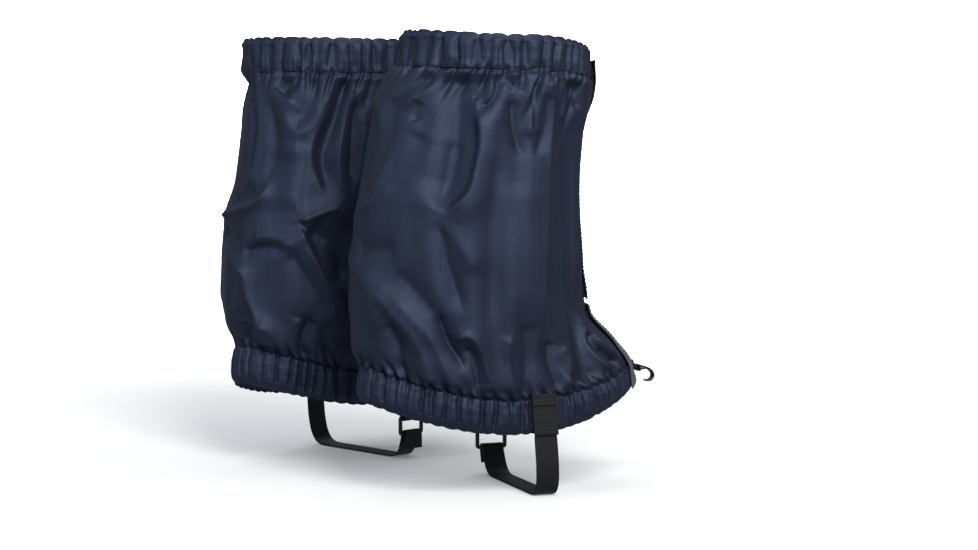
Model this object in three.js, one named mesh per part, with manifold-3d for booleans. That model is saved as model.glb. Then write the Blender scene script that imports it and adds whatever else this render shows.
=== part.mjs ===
// Pair of short hiking gaiters, one for each leg, as worn over low boots.
// Millimetres, +Z up, +X forward along the direction of walking, +Y towards the wearer's left.
// Origin: centre of the upper face of the right instep strap's flat run, which bears on the boot's arch.
import * as THREE from 'three';
import { mergeVertices } from 'three/addons/utils/BufferGeometryUtils.js';
import Module from 'manifold-3d';

const wasm = await Module();
wasm.setup();

// ---------------------------------------------------------------- driving dimensions
const TOE_OUT = 12;              // each foot turns outwards, degrees
const LEFT_LEG = [-14, 188];     // left leg axis from the right leg axis
const FABRIC = 1.0;              // shell thickness
const LEAF = 0.8;                // thickness of each leaf of a folded casing
const LEAF_MID = 1.2;            // middle of a leaf from the casing's own middle surface
const INSERT = 0.13;             // how far the shell runs into a casing, of the casing's height
const SLIT = 3.0;                // half the opening down the front
const TAPE = 0.8;                // hook and loop tapes
const FLAP = 1.0;                // flap thickness
const FLAP_HALF = 18;            // half the flap's width
const STRAP_W = 16;              // instep strap width
const STRAP_T = 1.2;             // instep strap thickness
const ARCH_Z = 11.6;             // upper face of the strap's flat run above the ground
const STRAP_Y = 52.6;            // strap's middle surface from the leg axis, at its sewn ends
const SWING_Z = 50;              // height of the strap's swing axis
const BAR_R = 1.2;               // buckle bar radius
const NU = 24;                   // segments round a gaiter

// rings from the hem's lower edge (first) to the collar's rim (last):
// front x, back x, half width, front z, side z, back z
const RIGHT_RINGS = [
  [96.5, -94.0, 48.5, 80, 52, 72],
  [93.0, -91.0, 51.0, 93, 75, 96],
  [80.0, -99.5, 57.0, 110, 98, 112],
  [61.0, -102.0, 60.5, 129, 123, 130],
  [58.0, -101.0, 62.0, 152, 149, 153],
  [56.2, -99.0, 63.5, 174, 173, 176],
  [55.0, -96.0, 64.0, 198, 198, 200],
  [54.8, -91.0, 63.5, 223, 224, 226],
  [57.0, -86.0, 62.5, 247, 250, 252],
  [60.0, -78.0, 61.0, 267, 272, 274],
  [61.0, -64.5, 59.0, 284, 289, 291],
  [60.5, -61.0, 59.0, 303, 312, 316],
];
const LEFT_RINGS = RIGHT_RINGS.map((r) => r.slice());
LEFT_RINGS[0] = [96.5, -94.0, 48.5, 80, 51, 69];
LEFT_RINGS[8] = [54.0, -87.0, 63.0, 250, 251, 252];
LEFT_RINGS[9] = [54.5, -82.0, 63.0, 272, 272, 273];
LEFT_RINGS[10] = [53.5, -75.0, 62.5, 289, 289, 290];
LEFT_RINGS[11] = [53.0, -74.0, 62.5, 314, 314, 315];

const COLORS = {
  navy: 0x23283a, elastic: 0x17181c, charcoal: 0x3c3c3f, tape: 0x1a1b1f,
  strap: 0x242529, webbing: 0x2a2a2c, steel: 0x2b2c30, print: 0xb9bcc0, plastic: 0x18191b,
};
const LOOK = {
  navy: [0.55, 0], elastic: [0.9, 0], charcoal: [0.75, 0], tape: [0.95, 0],
  strap: [0.5, 0], webbing: [0.85, 0], steel: [0.35, 0.9], print: [0.4, 0], plastic: [0.4, 0],
};

// ---------------------------------------------------------------- vectors
const add = (a, b, s = 1) => [a[0] + s * b[0], a[1] + s * b[1], a[2] + s * b[2]];
const dot = (a, b) => a[0] * b[0] + a[1] * b[1] + a[2] * b[2];
const unit = (a) => { const l = Math.hypot(...a); return [a[0] / l, a[1] / l, a[2] / l]; };
const rad = (d) => (d * Math.PI) / 180;

// ---------------------------------------------------------------- the fabric's surface
// k runs from 0 at the hem's edge to 11 at the rim; th is 0 at the front, 90 degrees medial.
function ring(rings, k) {
  const n = rings.length - 1;
  const i = Math.max(0, Math.min(n - 1, Math.floor(k)));
  const t = k - i;
  if (i === 0 || i === n - 1) return rings[i].map((v, j) => v + t * (rings[i + 1][j] - v));
  const p0 = rings[Math.max(1, i - 1)], p1 = rings[i], p2 = rings[i + 1], p3 = rings[Math.min(n - 1, i + 2)];
  return p1.map((_, j) => 0.5 * (2 * p1[j] + (p2[j] - p0[j]) * t
    + (2 * p0[j] - 5 * p1[j] + 4 * p2[j] - p3[j]) * t * t
    + (3 * p1[j] - p0[j] - 3 * p2[j] + p3[j]) * t * t * t));
}
function onRing(rings, th, k) {
  const [xf, xb, b, zf, zs, zb] = ring(rings, k);
  const c = Math.cos(th), f = Math.max(0, c) ** 2, r = Math.max(0, -c) ** 2;
  return [(xf + xb) / 2 + ((xf - xb) / 2) * c, b * Math.sin(th), zs + (zf - zs) * f + (zb - zs) * r];
}
function outward(rings, th, k, k0 = k - 0.02, k1 = k + 0.02) {
  const [xf, xb, b] = ring(rings, k);
  const a = (xf - xb) / 2;
  const h = unit([b * Math.cos(th), a * Math.sin(th), 0]);
  const d = unit(add(onRing(rings, th, k1), onRing(rings, th, k0), -1));
  return unit(add(h, d, -dot(h, d)));
}
function offsetPoint(rings, th, k, o) {
  const n = rings.length - 1;
  let k0 = k - 0.02, k1 = k + 0.02;
  if (k > n - 1 + 1e-6) { k0 = n - 1; k1 = n; }
  else if (k < 1 - 1e-6) { k0 = 0; k1 = 1; }
  else { k0 = Math.max(1, k0); k1 = Math.min(n - 1, k1); }
  return add(onRing(rings, th, k), outward(rings, th, k, k0, k1), o);
}
const frontAngle = (rings, y, k) => Math.asin(y / ring(rings, k)[2]);
// a point y across the front at any height, on the flat facets between whole rings
function frontPoint(rings, y, k, o) {
  const n = rings.length - 1;
  if (k <= 1 || k >= n - 1 || Math.abs(k - Math.round(k)) < 1e-9) return offsetPoint(rings, frontAngle(rings, y, k), k, o);
  const i = Math.floor(k), t = k - i;
  const a = offsetPoint(rings, frontAngle(rings, y, i), i, o), b = offsetPoint(rings, frontAngle(rings, y, i + 1), i + 1, o);
  return add(add([0, 0, 0], a, 1 - t), b, t);
}

// ---------------------------------------------------------------- solids
function finish(geometry) {
  geometry.deleteAttribute('normal');
  geometry.deleteAttribute('uv');
  let g = mergeVertices(geometry, 1e-4);
  const p = g.attributes.position, idx = g.index.array;
  let vol = 0;
  const v = (i) => [p.getX(i), p.getY(i), p.getZ(i)];
  for (let i = 0; i < idx.length; i += 3) {
    const [a, b, c] = [v(idx[i]), v(idx[i + 1]), v(idx[i + 2])];
    vol += a[0] * (b[1] * c[2] - b[2] * c[1]) - a[1] * (b[0] * c[2] - b[2] * c[0]) + a[2] * (b[0] * c[1] - b[1] * c[0]);
  }
  if (vol < 0) for (let i = 0; i < idx.length; i += 3) [idx[i + 1], idx[i + 2]] = [idx[i + 2], idx[i + 1]];
  return g;
}
// a box whose grid of nu x nv x nw cells is laid over a curved slab by f(u, v, w), each 0 to 1
function slab(nu, nv, nw, f) {
  const g = new THREE.BoxGeometry(1, 1, 1, nu, nv, nw);
  const p = g.attributes.position;
  for (let i = 0; i < p.count; i++) {
    const q = f(p.getX(i) + 0.5, p.getY(i) + 0.5, p.getZ(i) + 0.5);
    p.setXYZ(i, q[0], q[1], q[2]);
  }
  return finish(g);
}
function toManifold(g) {
  g.deleteAttribute('normal'); g.deleteAttribute('uv');
  const m = mergeVertices(g, 1e-4);
  return new wasm.Manifold(new wasm.Mesh({
    numProp: 3, vertProperties: new Float32Array(m.attributes.position.array), triVerts: new Uint32Array(m.index.array),
  }));
}
function union(list) {
  let s = toManifold(list[0]);
  for (const g of list.slice(1)) s = s.add(toManifold(g));
  return s;
}
function fromManifold(s) {
  const m = s.getMesh();
  const g = new THREE.BufferGeometry();
  g.setAttribute('position', new THREE.BufferAttribute(new Float32Array(m.vertProperties), 3));
  g.setIndex(new THREE.BufferAttribute(new Uint32Array(m.triVerts), 1));
  return g;
}
const box = (x, y, z, sx, sy, sz) => new THREE.BoxGeometry(sx, sy, sz).translate(x, y, z);
const rodY = (x, y, z, r, len, n = 12) => new THREE.CylinderGeometry(r, r, len, n).translate(x, y, z);
const rodX = (x, y, z, r, len, n = 12) => new THREE.CylinderGeometry(r, r, len, n).rotateZ(Math.PI / 2).translate(x, y, z);

// rows of a table by a 0..1 parameter that falls on the grid
const pick = (rows, v) => rows[Math.round(v * (rows.length - 1))];

function shell(rings) {
  const rows = [1 - INSERT, 1, 2, 3, 4, 5, 6, 7, 8, 9, 10, 10 + INSERT];
  return slab(NU, rows.length - 1, 1, (u, v, w) => {
    const k = pick(rows, v), g = frontAngle(rings, SLIT, k);
    return offsetPoint(rings, g + u * (2 * Math.PI - 2 * g), k, (w - 0.5) * FABRIC);
  });
}
// folded tunnel: up the outer leaf, round the fold, down the inner leaf
function casing(rings, waist, edge) {
  const fold = [90, 45, 0, -45, -90];
  return slab(NU, 6, 1, (u, v, w) => {
    const g = frontAngle(rings, SLIT, waist), th = g + u * (2 * Math.PI - 2 * g);
    const W = onRing(rings, th, waist), E = onRing(rings, th, edge);
    const d = unit(add(E, W, -1)), H = Math.hypot(...add(E, W, -1)) - LEAF_MID - LEAF / 2;
    const n = outward(rings, th, (waist + edge) / 2, Math.min(waist, edge), Math.max(waist, edge));
    const r = LEAF_MID + (w - 0.5) * LEAF;
    const i = Math.round(v * 6);
    let h, o;
    if (i === 0) { h = 0.6; o = r; }
    else if (i === 6) { h = 0.6; o = -r; }
    else { const a = rad(fold[i - 1]); h = H + r * Math.cos(a); o = r * Math.sin(a); }
    return add(add(W, d, h), n, o);
  });
}
function casingElastic(rings, waist, edge) {
  return slab(NU, 1, 1, (u, v, w) => {
    const g = frontAngle(rings, SLIT, waist), th = g + u * (2 * Math.PI - 2 * g);
    const W = onRing(rings, th, waist), E = onRing(rings, th, edge);
    const d = unit(add(E, W, -1)), L = Math.hypot(...add(E, W, -1));
    const n = outward(rings, th, (waist + edge) / 2, Math.min(waist, edge), Math.max(waist, edge));
    return add(add(W, d, 4 + v * (L - 4 - 2.4)), n, (w - 0.5) * 0.8);
  });
}
// a strip beside or across the front: y0 to y1 wide, through the rows k, from o0 to o1 off the surface
function frontStrip(rings, rows, y0, y1, nu, o0, o1, widen = 0) {
  return slab(nu, rows.length - 1, 1, (u, v, w) => {
    const k = pick(rows, v);
    const grow = widen * v;
    const y = (y0 + Math.sign(y0) * grow) + u * ((y1 + Math.sign(y1) * grow) - (y0 + Math.sign(y0) * grow));
    return frontPoint(rings, y, k, o0 + w * (o1 - o0));
  });
}

// ---------------------------------------------------------------- instep strap, tabs and buckle
const strapX = (z) => 17.5 - (3 * (z - 11)) / 41;    // the strap leans back as it rises
// a strip STRAP_W wide whose middle line is given in the plane across the foot
function strip(path, thick, side = 1) {
  const n = path.length;
  const nrm = path.map((p, i) => {
    const a = path[Math.max(0, i - 1)], b = path[Math.min(n - 1, i + 1)];
    const dy = b[0] - a[0], dz = b[1] - a[1], l = Math.hypot(dy, dz);
    return [-dz / l, dy / l];
  });
  return slab(1, n - 1, 1, (u, v, w) => {
    const i = Math.round(v * (n - 1)), p = path[i];
    const hw = p[2] ?? STRAP_W / 2, o = (w - 0.5) * thick;
    const fixed = p[3];
    const ny = fixed ? fixed[0] : nrm[i][0], nz = fixed ? fixed[1] : nrm[i][1];
    return [strapX(p[1]) + (u * 2 - 1) * hw, side * (p[0] + ny * o), p[1] + nz * o];
  });
}
const roundEnd = (y) => [75, 50, 25].map((a) => [y, SWING_Z + 8 * Math.sin(rad(a)), 8 * Math.cos(rad(a))]);
const UPPER_BAR = [54.7, 41], LOWER_BAR = [54.7, 29], WRAP = 2.2;
function instepStrap() {
  const corner = [[52.4, 32], [50.9, 22.5], [48.6, 17], [45, 13.2], [40.5, 11.4]];
  const flat = ARCH_Z - STRAP_T / 2;
  const lateral = [...roundEnd(-STRAP_Y), [-STRAP_Y, 50], [-STRAP_Y, 42], ...corner.map(([y, z]) => [-y, z])];
  const run = [[-36, flat, undefined, [0, 1]], [36, flat, undefined, [0, 1]]];
  const medial = [...corner.slice(1).reverse().map(([y, z]) => [y, z]), [52.5, 28]];
  const wrap = [180, 135, 90, 45, 0].map((a) => [LOWER_BAR[0] + WRAP * Math.cos(rad(a)), LOWER_BAR[1] + WRAP * Math.sin(rad(a))]);
  const tail = [[56.9, 24], [56.4, 18]];
  return strip([...lateral, ...run, ...medial, ...wrap, ...tail], STRAP_T);
}
function buckleLoop() {
  const top = roundEnd(STRAP_Y);
  const wrap = [180, 225, 270, 315, 360].map((a) => [UPPER_BAR[0] + WRAP * Math.cos(rad(a)), UPPER_BAR[1] + WRAP * Math.sin(rad(a))]);
  return strip([...top, [STRAP_Y, 50], ...wrap, [56.9, 46.5]], 1.0);
}
function strapTab(side) {
  return strip([[54.5, 52, 8.5], [54.5, 60, 8.5], [54.3, 70, 8.5], [54.0, 79, 8.5]], 1.0, side);
}
function buckle() {
  const zm = (UPPER_BAR[1] + LOWER_BAR[1]) / 2, x = strapX(zm), y = UPPER_BAR[0];
  const h = UPPER_BAR[1] - LOWER_BAR[1] + 2 * BAR_R;
  return finish(fromManifold(union([
    box(x - 10.1, y, zm, 2.4, 2.4, h), box(x + 10.1, y, zm, 2.4, 2.4, h),
    rodX(x, y, UPPER_BAR[1], BAR_R, 20), rodX(x, y, LOWER_BAR[1], BAR_R, 20),
  ])));
}

// ---------------------------------------------------------------- lace hook at the toe end of the instep flap
const PIVOT = [102.6, 87.2];
function hookTab() {
  const [x, z] = PIVOT, w = 7;
  const body = union([
    rodY(x, 0, z, 2.4, w, 16), box(x - 1.5, 0, z, 3.0, w, 4.8), box(x - 3.05, 0, z + 2.2, 0.9, w, 6.4),
  ]);
  return finish(fromManifold(body.subtract(toManifold(rodY(x, 0, z, 1.5, w + 2, 12)))));
}
function laceHook() {
  const [x, z] = PIVOT;
  const line = [[3.2, 0.4], [6.4, -0.4], [9.4, -2.2], [11.2, -5.0], [10.6, -7.8], [8.2, -9.2], [5.2, -8.8]];
  const t = 0.7, left = [], right = [];
  line.forEach((p, i) => {
    const a = line[Math.max(0, i - 1)], b = line[Math.min(line.length - 1, i + 1)];
    const dx = b[0] - a[0], dz = b[1] - a[1], l = Math.hypot(dx, dz);
    left.push([p[0] - (dz / l) * t, p[1] + (dx / l) * t]);
    right.unshift([p[0] + (dz / l) * t, p[1] - (dx / l) * t]);
  });
  const shape = new THREE.Shape([...left, ...right].map(([a, b]) => new THREE.Vector2(a, b)));
  const blade = new THREE.ExtrudeGeometry(shape, { depth: 6, bevelEnabled: false, steps: 1 })
    .translate(0, 0, -3).rotateX(Math.PI / 2).translate(x, 0, z);
  return finish(fromManifold(union([
    rodY(x, 0, z, 1.1, 12, 12), box(x + 1.9, 5.4, z, 4.8, 1.6, 1.8), box(x + 1.9, -5.4, z, 4.8, 1.6, 1.8),
    box(x + 3.7, 0, z, 1.4, 12, 1.8), blade,
  ])));
}

// ---------------------------------------------------------------- one gaiter
function placed(geometry, side) {
  // side +1: right gaiter as drawn; side -1: mirrored across the foot, for the left
  if (side < 0) {
    geometry.scale(1, -1, 1);
    const idx = geometry.index.array;
    for (let i = 0; i < idx.length; i += 3) [idx[i + 1], idx[i + 2]] = [idx[i + 2], idx[i + 1]];
  }
  return geometry;
}
function gaiter(name, rings, side, flapTop) {
  const pieces = {
    shell: [shell(rings), 'navy'],
    collar_casing: [casing(rings, 10, 11), 'navy'],
    collar_elastic: [casingElastic(rings, 10, 11), 'elastic'],
    hem_casing: [casing(rings, 1, 0), 'navy'],
    hem_elastic: [casingElastic(rings, 1, 0), 'elastic'],
    front_hook_tape: [frontStrip(rings, [3.4, 4, 5, 6, 7, 8, 9, 9.7], -4, -15, 2, 0.8, 0.8 + TAPE), 'tape'],
    flap_loop_tape: [frontStrip(rings, [3.4, 4, 5, 6, 7, 8, 9, 9.7], -4, -15, 2, 1.9, 1.9 + TAPE), 'tape'],
    front_flap: [frontStrip(rings, [3.35, 4, 5, 6, 7, 8, 9, 10, flapTop], FLAP_HALF, -FLAP_HALF, 6, 3.0, 3.0 + FLAP), 'navy'],
    instep_hook_tape: [frontStrip(rings, [1.15, 2, 2.95], -4, -15, 2, 0.8, 0.8 + TAPE), 'tape'],
    instep_loop_tape: [frontStrip(rings, [1.15, 2, 2.95], -4, -15, 2, 1.9, 1.9 + TAPE), 'tape'],
    instep_flap: [frontStrip(rings, [3.15, 2.6, 2, 1.5, 1, 0.05], FLAP_HALF, -FLAP_HALF, 6, 3.0, 3.0 + FLAP, 3), 'charcoal'],
    instep_print: [frontStrip(rings, [1.75, 1.55], -9, -15, 1, 4.3, 4.7), 'print'],
    hook_tab: [hookTab(), 'webbing'],
    lace_hook: [laceHook(), 'steel'],
    strap_tab_outer: [strapTab(-1), 'webbing'],
    strap_tab_inner: [strapTab(1), 'webbing'],
    buckle_loop: [buckleLoop(), 'webbing'],
    strap_buckle: [buckle(), 'plastic'],
    instep_strap: [instepStrap(), 'strap'],
  };
  const g = new THREE.Group();
  for (const [part, [geometry, color]] of Object.entries(pieces)) {
    const material = new THREE.MeshStandardMaterial({ color: COLORS[color], roughness: LOOK[color][0], metalness: LOOK[color][1] });
    const mesh = new THREE.Mesh(placed(geometry, side), material);
    mesh.name = `${name}_${part}`;
    g.add(mesh);
  }
  return g;
}

// ---------------------------------------------------------------- the pair
const group = new THREE.Group();
const t = rad(TOE_OUT), ax = strapX(11);
const origin = [-ax * Math.cos(t), ax * Math.sin(t), -ARCH_Z];
const right = gaiter('right', RIGHT_RINGS, 1, 10.6);
right.rotation.z = -t;
right.position.set(...origin);
const left = gaiter('left', LEFT_RINGS, -1, 10.75);
left.rotation.z = t;
left.position.set(origin[0] + LEFT_LEG[0], origin[1] + LEFT_LEG[1], origin[2]);
group.add(right, left);

export default group;
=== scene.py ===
import math

import bmesh
import bpy
import numpy as np
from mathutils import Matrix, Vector


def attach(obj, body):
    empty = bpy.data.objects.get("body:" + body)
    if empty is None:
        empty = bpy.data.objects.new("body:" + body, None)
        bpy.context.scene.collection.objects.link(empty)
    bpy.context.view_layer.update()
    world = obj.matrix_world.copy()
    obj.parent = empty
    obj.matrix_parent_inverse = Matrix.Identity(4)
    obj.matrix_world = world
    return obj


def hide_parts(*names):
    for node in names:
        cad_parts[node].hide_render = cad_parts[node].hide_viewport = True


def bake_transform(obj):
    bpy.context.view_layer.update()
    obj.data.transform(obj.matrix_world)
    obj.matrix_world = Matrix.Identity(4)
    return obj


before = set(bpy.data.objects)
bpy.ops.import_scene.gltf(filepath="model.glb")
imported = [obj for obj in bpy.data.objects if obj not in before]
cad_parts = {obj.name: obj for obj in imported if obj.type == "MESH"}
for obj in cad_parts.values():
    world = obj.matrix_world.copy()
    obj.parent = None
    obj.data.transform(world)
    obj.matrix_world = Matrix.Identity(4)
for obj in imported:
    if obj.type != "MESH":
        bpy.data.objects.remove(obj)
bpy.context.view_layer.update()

RNG = np.random.default_rng(7)

# ------------------------------------------------------------------ sizes, millimetres, as in the CAD model
TOE_OUT = 12.0
LEFT_LEG = (-14.0, 188.0)
ARCH_Z = 11.6
STRAP_Y = 52.6
STRAP_W = 16.0
SWING_Z = 50.0
UPPER_BAR = (54.7, 41.0)
LOWER_BAR = (54.7, 29.0)
PIVOT = (102.6, 87.2)
FLOOR_Z = -0.0013

RINGS = np.array([
    [96.5, -94.0, 48.5, 80, 52, 72],
    [93.0, -91.0, 51.0, 93, 75, 96],
    [80.0, -99.5, 57.0, 110, 98, 112],
    [61.0, -102.0, 60.5, 129, 123, 130],
    [58.0, -101.0, 62.0, 152, 149, 153],
    [56.2, -99.0, 63.5, 174, 173, 176],
    [55.0, -96.0, 64.0, 198, 198, 200],
    [54.8, -91.0, 63.5, 223, 224, 226],
    [57.0, -86.0, 62.5, 247, 250, 252],
    [60.0, -78.0, 61.0, 267, 272, 274],
    [61.0, -64.5, 59.0, 284, 289, 291],
    [60.5, -61.0, 59.0, 303, 312, 316],
], float)
LEFT_RINGS = RINGS.copy()
LEFT_RINGS[0] = [96.5, -94.0, 48.5, 80, 51, 69]
LEFT_RINGS[8] = [54.0, -87.0, 63.0, 250, 251, 252]
LEFT_RINGS[9] = [54.5, -82.0, 63.0, 272, 272, 273]
LEFT_RINGS[10] = [53.5, -75.0, 62.5, 289, 289, 290]
LEFT_RINGS[11] = [53.0, -74.0, 62.5, 314, 314, 315]

# Folds: height in mm (out is positive), width on each side, profile power, and the line that each follows as
# (degrees round from the front, ring number from 0 at the hem's edge to 11 at the rim).
FOLDS_RIGHT = [
    (3.6, 11, 3.2, 1.2, [(-74.8, 9.8), (-70.2, 8.6), (-68.0, 7.76), (-67.0, 6.78), (-67.2, 5.78), (-68.5, 4.45), (-70.0, 3.18), (-81.2, 1.85)]),
    (-4.6, 9.0, 12.0, 1.8, [(-53.0, 9.51), (-47.5, 8.43), (-44.2, 7.54), (-41.5, 6.5), (-40.8, 5.46), (-39.8, 4.33), (-39.0, 2.94), (-51.2, 2.15), (-57.5, 1.36)]),
    (1.0, 6.0, 5.0, 1.6, [(-34.8, 8.36), (-30.2, 7.28), (-28.8, 5.99), (-27.8, 4.61), (-27.8, 3.48)]),
    (-2.2, 3.0, 3.0, 1.3, [(-56.0, 9.49), (-52.0, 8.85), (-48.0, 8.3)]),
    (1.8, 3.0, 3.0, 1.6, [(-62.5, 9.53), (-59.3, 8.81), (-58.0, 8.21)]),
    (-2.4, 2.6, 2.6, 1.3, [(-44.5, 9.49), (-40.5, 9.04), (-39.5, 8.64)]),
    (-1.6, 2.4, 2.4, 1.2, [(-101.8, 9.76), (-96.8, 9.39), (-92.0, 9.18)]),
    (-1.6, 2.4, 2.4, 1.2, [(-89.8, 9.68), (-89.8, 9.36), (-91.2, 9.16)]),
    (-1.8, 4.0, 4.0, 1.3, [(-93.0, 8.94), (-87.8, 8.08), (-83.5, 7.61), (-79.2, 7.28)]),
    (-1.8, 4.0, 4.0, 1.3, [(-74.8, 9.16), (-72.2, 8.25), (-72.8, 7.61), (-75.0, 7.28)]),
    (1.6, 5.0, 5.0, 1.6, [(-86.2, 9.4), (-81.0, 8.58), (-78.2, 7.76)]),
    (-1.6, 3.0, 3.0, 1.2, [(-82.2, 9.34), (-78.8, 8.59), (-76.2, 7.91)]),
    (-2.2, 3.0, 3.0, 1.2, [(-112.5, 9.66), (-112.2, 9.25), (-111.5, 8.8)]),
    (-2.0, 2.6, 2.6, 1.2, [(-104.5, 9.66), (-102.2, 9.14), (-104.0, 8.75), (-110.2, 8.74)]),
    (-6.6, 21.0, 11.0, 1.8, [(-124.0, 9.36), (-119.3, 8.5), (-117.3, 7.75), (-117.8, 7.08), (-119.8, 6.49), (-122.5, 6.0)]),
    (3.4, 3.4, 11, 1.4, [(-110.0, 8.69), (-104.8, 8.22), (-102.2, 7.64), (-103.0, 7.04), (-104.8, 6.5), (-109.0, 6.21), (-115.5, 5.95), (-121.2, 5.83)]),
    (1.0, 14, 12.0, 1.8, [(-130.3, 9.49), (-126.5, 8.72), (-127.7, 7.99), (-131.2, 7.25), (-133.8, 6.51), (-134.8, 5.76)]),
    (-1.6, 6.0, 6.0, 1.6, [(-117.3, 7.75), (-119.0, 7.15), (-120.2, 6.54), (-121.5, 6.0)]),
    (-1.7, 6.0, 4.0, 1.4, [(-121.8, 5.83), (-117.8, 5.29), (-115.2, 4.71), (-110.8, 4.1), (-105.2, 3.29)]),
    (1.1, 6.0, 9.0, 1.6, [(-121.0, 5.78), (-114.8, 5.45), (-107.5, 4.99), (-102.2, 4.58), (-100.2, 4.28)]),
    (2.4, 6.0, 6.0, 1.4, [(160.5, 4.76), (145.2, 5.39), (-165.8, 6.1), (-159.5, 6.71), (-154.5, 7.3), (-149.8, 7.7)]),
    (2.0, 6.0, 7.0, 1.4, [(156.0, 4.66), (-166.0, 4.14), (-155.8, 3.49), (-152.5, 2.69), (-153.2, 1.93)]),
    (-1.8, 8.0, 8.0, 1.6, [(-176.0, 4.84), (-154.2, 4.91), (-141.2, 5.01)]),
    (1.4, 8.0, 6.0, 1.5, [(-169.0, 4.48), (-148.0, 3.84), (-133.2, 3.24), (-124.2, 2.7), (-120.5, 2.04), (-120.2, 1.43)]),
    (-1.7, 9.0, 6.0, 1.6, [(-143.8, 4.4), (-128.5, 3.78), (-118.2, 3.16), (-114.5, 2.56), (-111.5, 2.0)]),
    (-2.4, 8.0, 8.0, 1.7, [(154.5, 3.86), (142.8, 3.09), (142.0, 2.2)]),
    (1.8, 6.0, 5.0, 1.5, [(-156.5, 3.91), (-142.2, 3.24), (-133.0, 2.69), (-129.5, 2.06), (-131.0, 1.33)]),
    (-1.8, 5.0, 4.0, 1.4, [(-146.0, 3.0), (-141.5, 2.36), (-142.5, 1.58)]),
    (-2.8, 3.0, 3.0, 1.1, [(-118.2, 3.36), (-116.5, 2.9), (-114.8, 2.49), (-112.5, 2.16), (-111.2, 1.79)]),
    (2.2, 4.0, 4.0, 1.2, [(-111.8, 2.55), (-108.2, 2.78), (-104.5, 2.79), (-102.0, 2.59), (-101.8, 2.15), (-103.8, 1.51)]),
    (-2.0, 3.0, 3.5, 1.3, [(-107.5, 2.51), (-105.8, 2.2), (-107.5, 1.55)]),
    (1.8, 5.0, 5.0, 1.4, [(-84.8, 2.83), (-89.5, 2.43), (-92.5, 1.89), (-94.0, 1.36)]),
    (-1.8, 5.0, 6.0, 1.5, [(-76.8, 3.15), (-79.5, 2.56), (-85.2, 1.86), (-90.0, 1.3)]),
    (-2.2, 5.0, 5.0, 1.5, [(-66.0, 2.61), (-71.8, 2.1), (-74.0, 1.48)]),
    (1.8, 5.0, 4.0, 1.4, [(-60.3, 2.41), (-62.2, 1.94), (-69.2, 1.43)]),
    (2.4, 4.0, 4.0, 1.3, [(-31.0, 2.8), (-43.0, 2.35), (-45.8, 1.89), (-43.0, 1.48)]),
    (-3.2, 3.5, 3.5, 1.3, [(-32.8, 2.55), (-38.0, 2.23), (-36.8, 1.84), (-33.8, 1.54)]),
    (-1.8, 3.0, 3.0, 1.3, [(-39.5, 1.98), (-36.0, 1.54), (-30.8, 1.11)]),
    (1.6, 3.0, 3.0, 1.3, [(-34.2, 2.38), (-34.0, 1.95), (-30.0, 1.5)]),
    (1.8, 6.0, 6.0, 1.6, [(-179.5, 9.59), (155.5, 9.08), (-174.5, 8.43), (-164.8, 7.68)]),
    (-2.0, 3.6, 3.6, 1.3, [(-147.8, 9.46), (-154.0, 9.12), (-160.2, 8.8), (-172.0, 8.55)]),
    (-1.6, 5.0, 5.0, 1.5, [(-144.8, 8.81), (-145.2, 8.45), (-143.0, 8.18)]),
    (1.6, 4.0, 4.0, 1.3, [(-138.2, 9.54), (-141.0, 9.14), (-147.5, 8.81), (-154.8, 8.61)]),
    (-1.8, 9.0, 9.0, 1.8, [(-138.0, 7.98), (-144.5, 7.1), (-148.5, 6.24)]),
    (-1.2, 9.0, 9.0, 1.8, [(-95.2, 7.51), (-93.2, 6.31), (-92.0, 5.05), (-92.2, 3.73), (-95.8, 2.74)]),
    (1.4, 12, 12, 1.8, [(-80.0, 6.79), (-78.8, 5.54), (-79.2, 3.95), (-82.0, 2.98)]),
]
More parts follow.
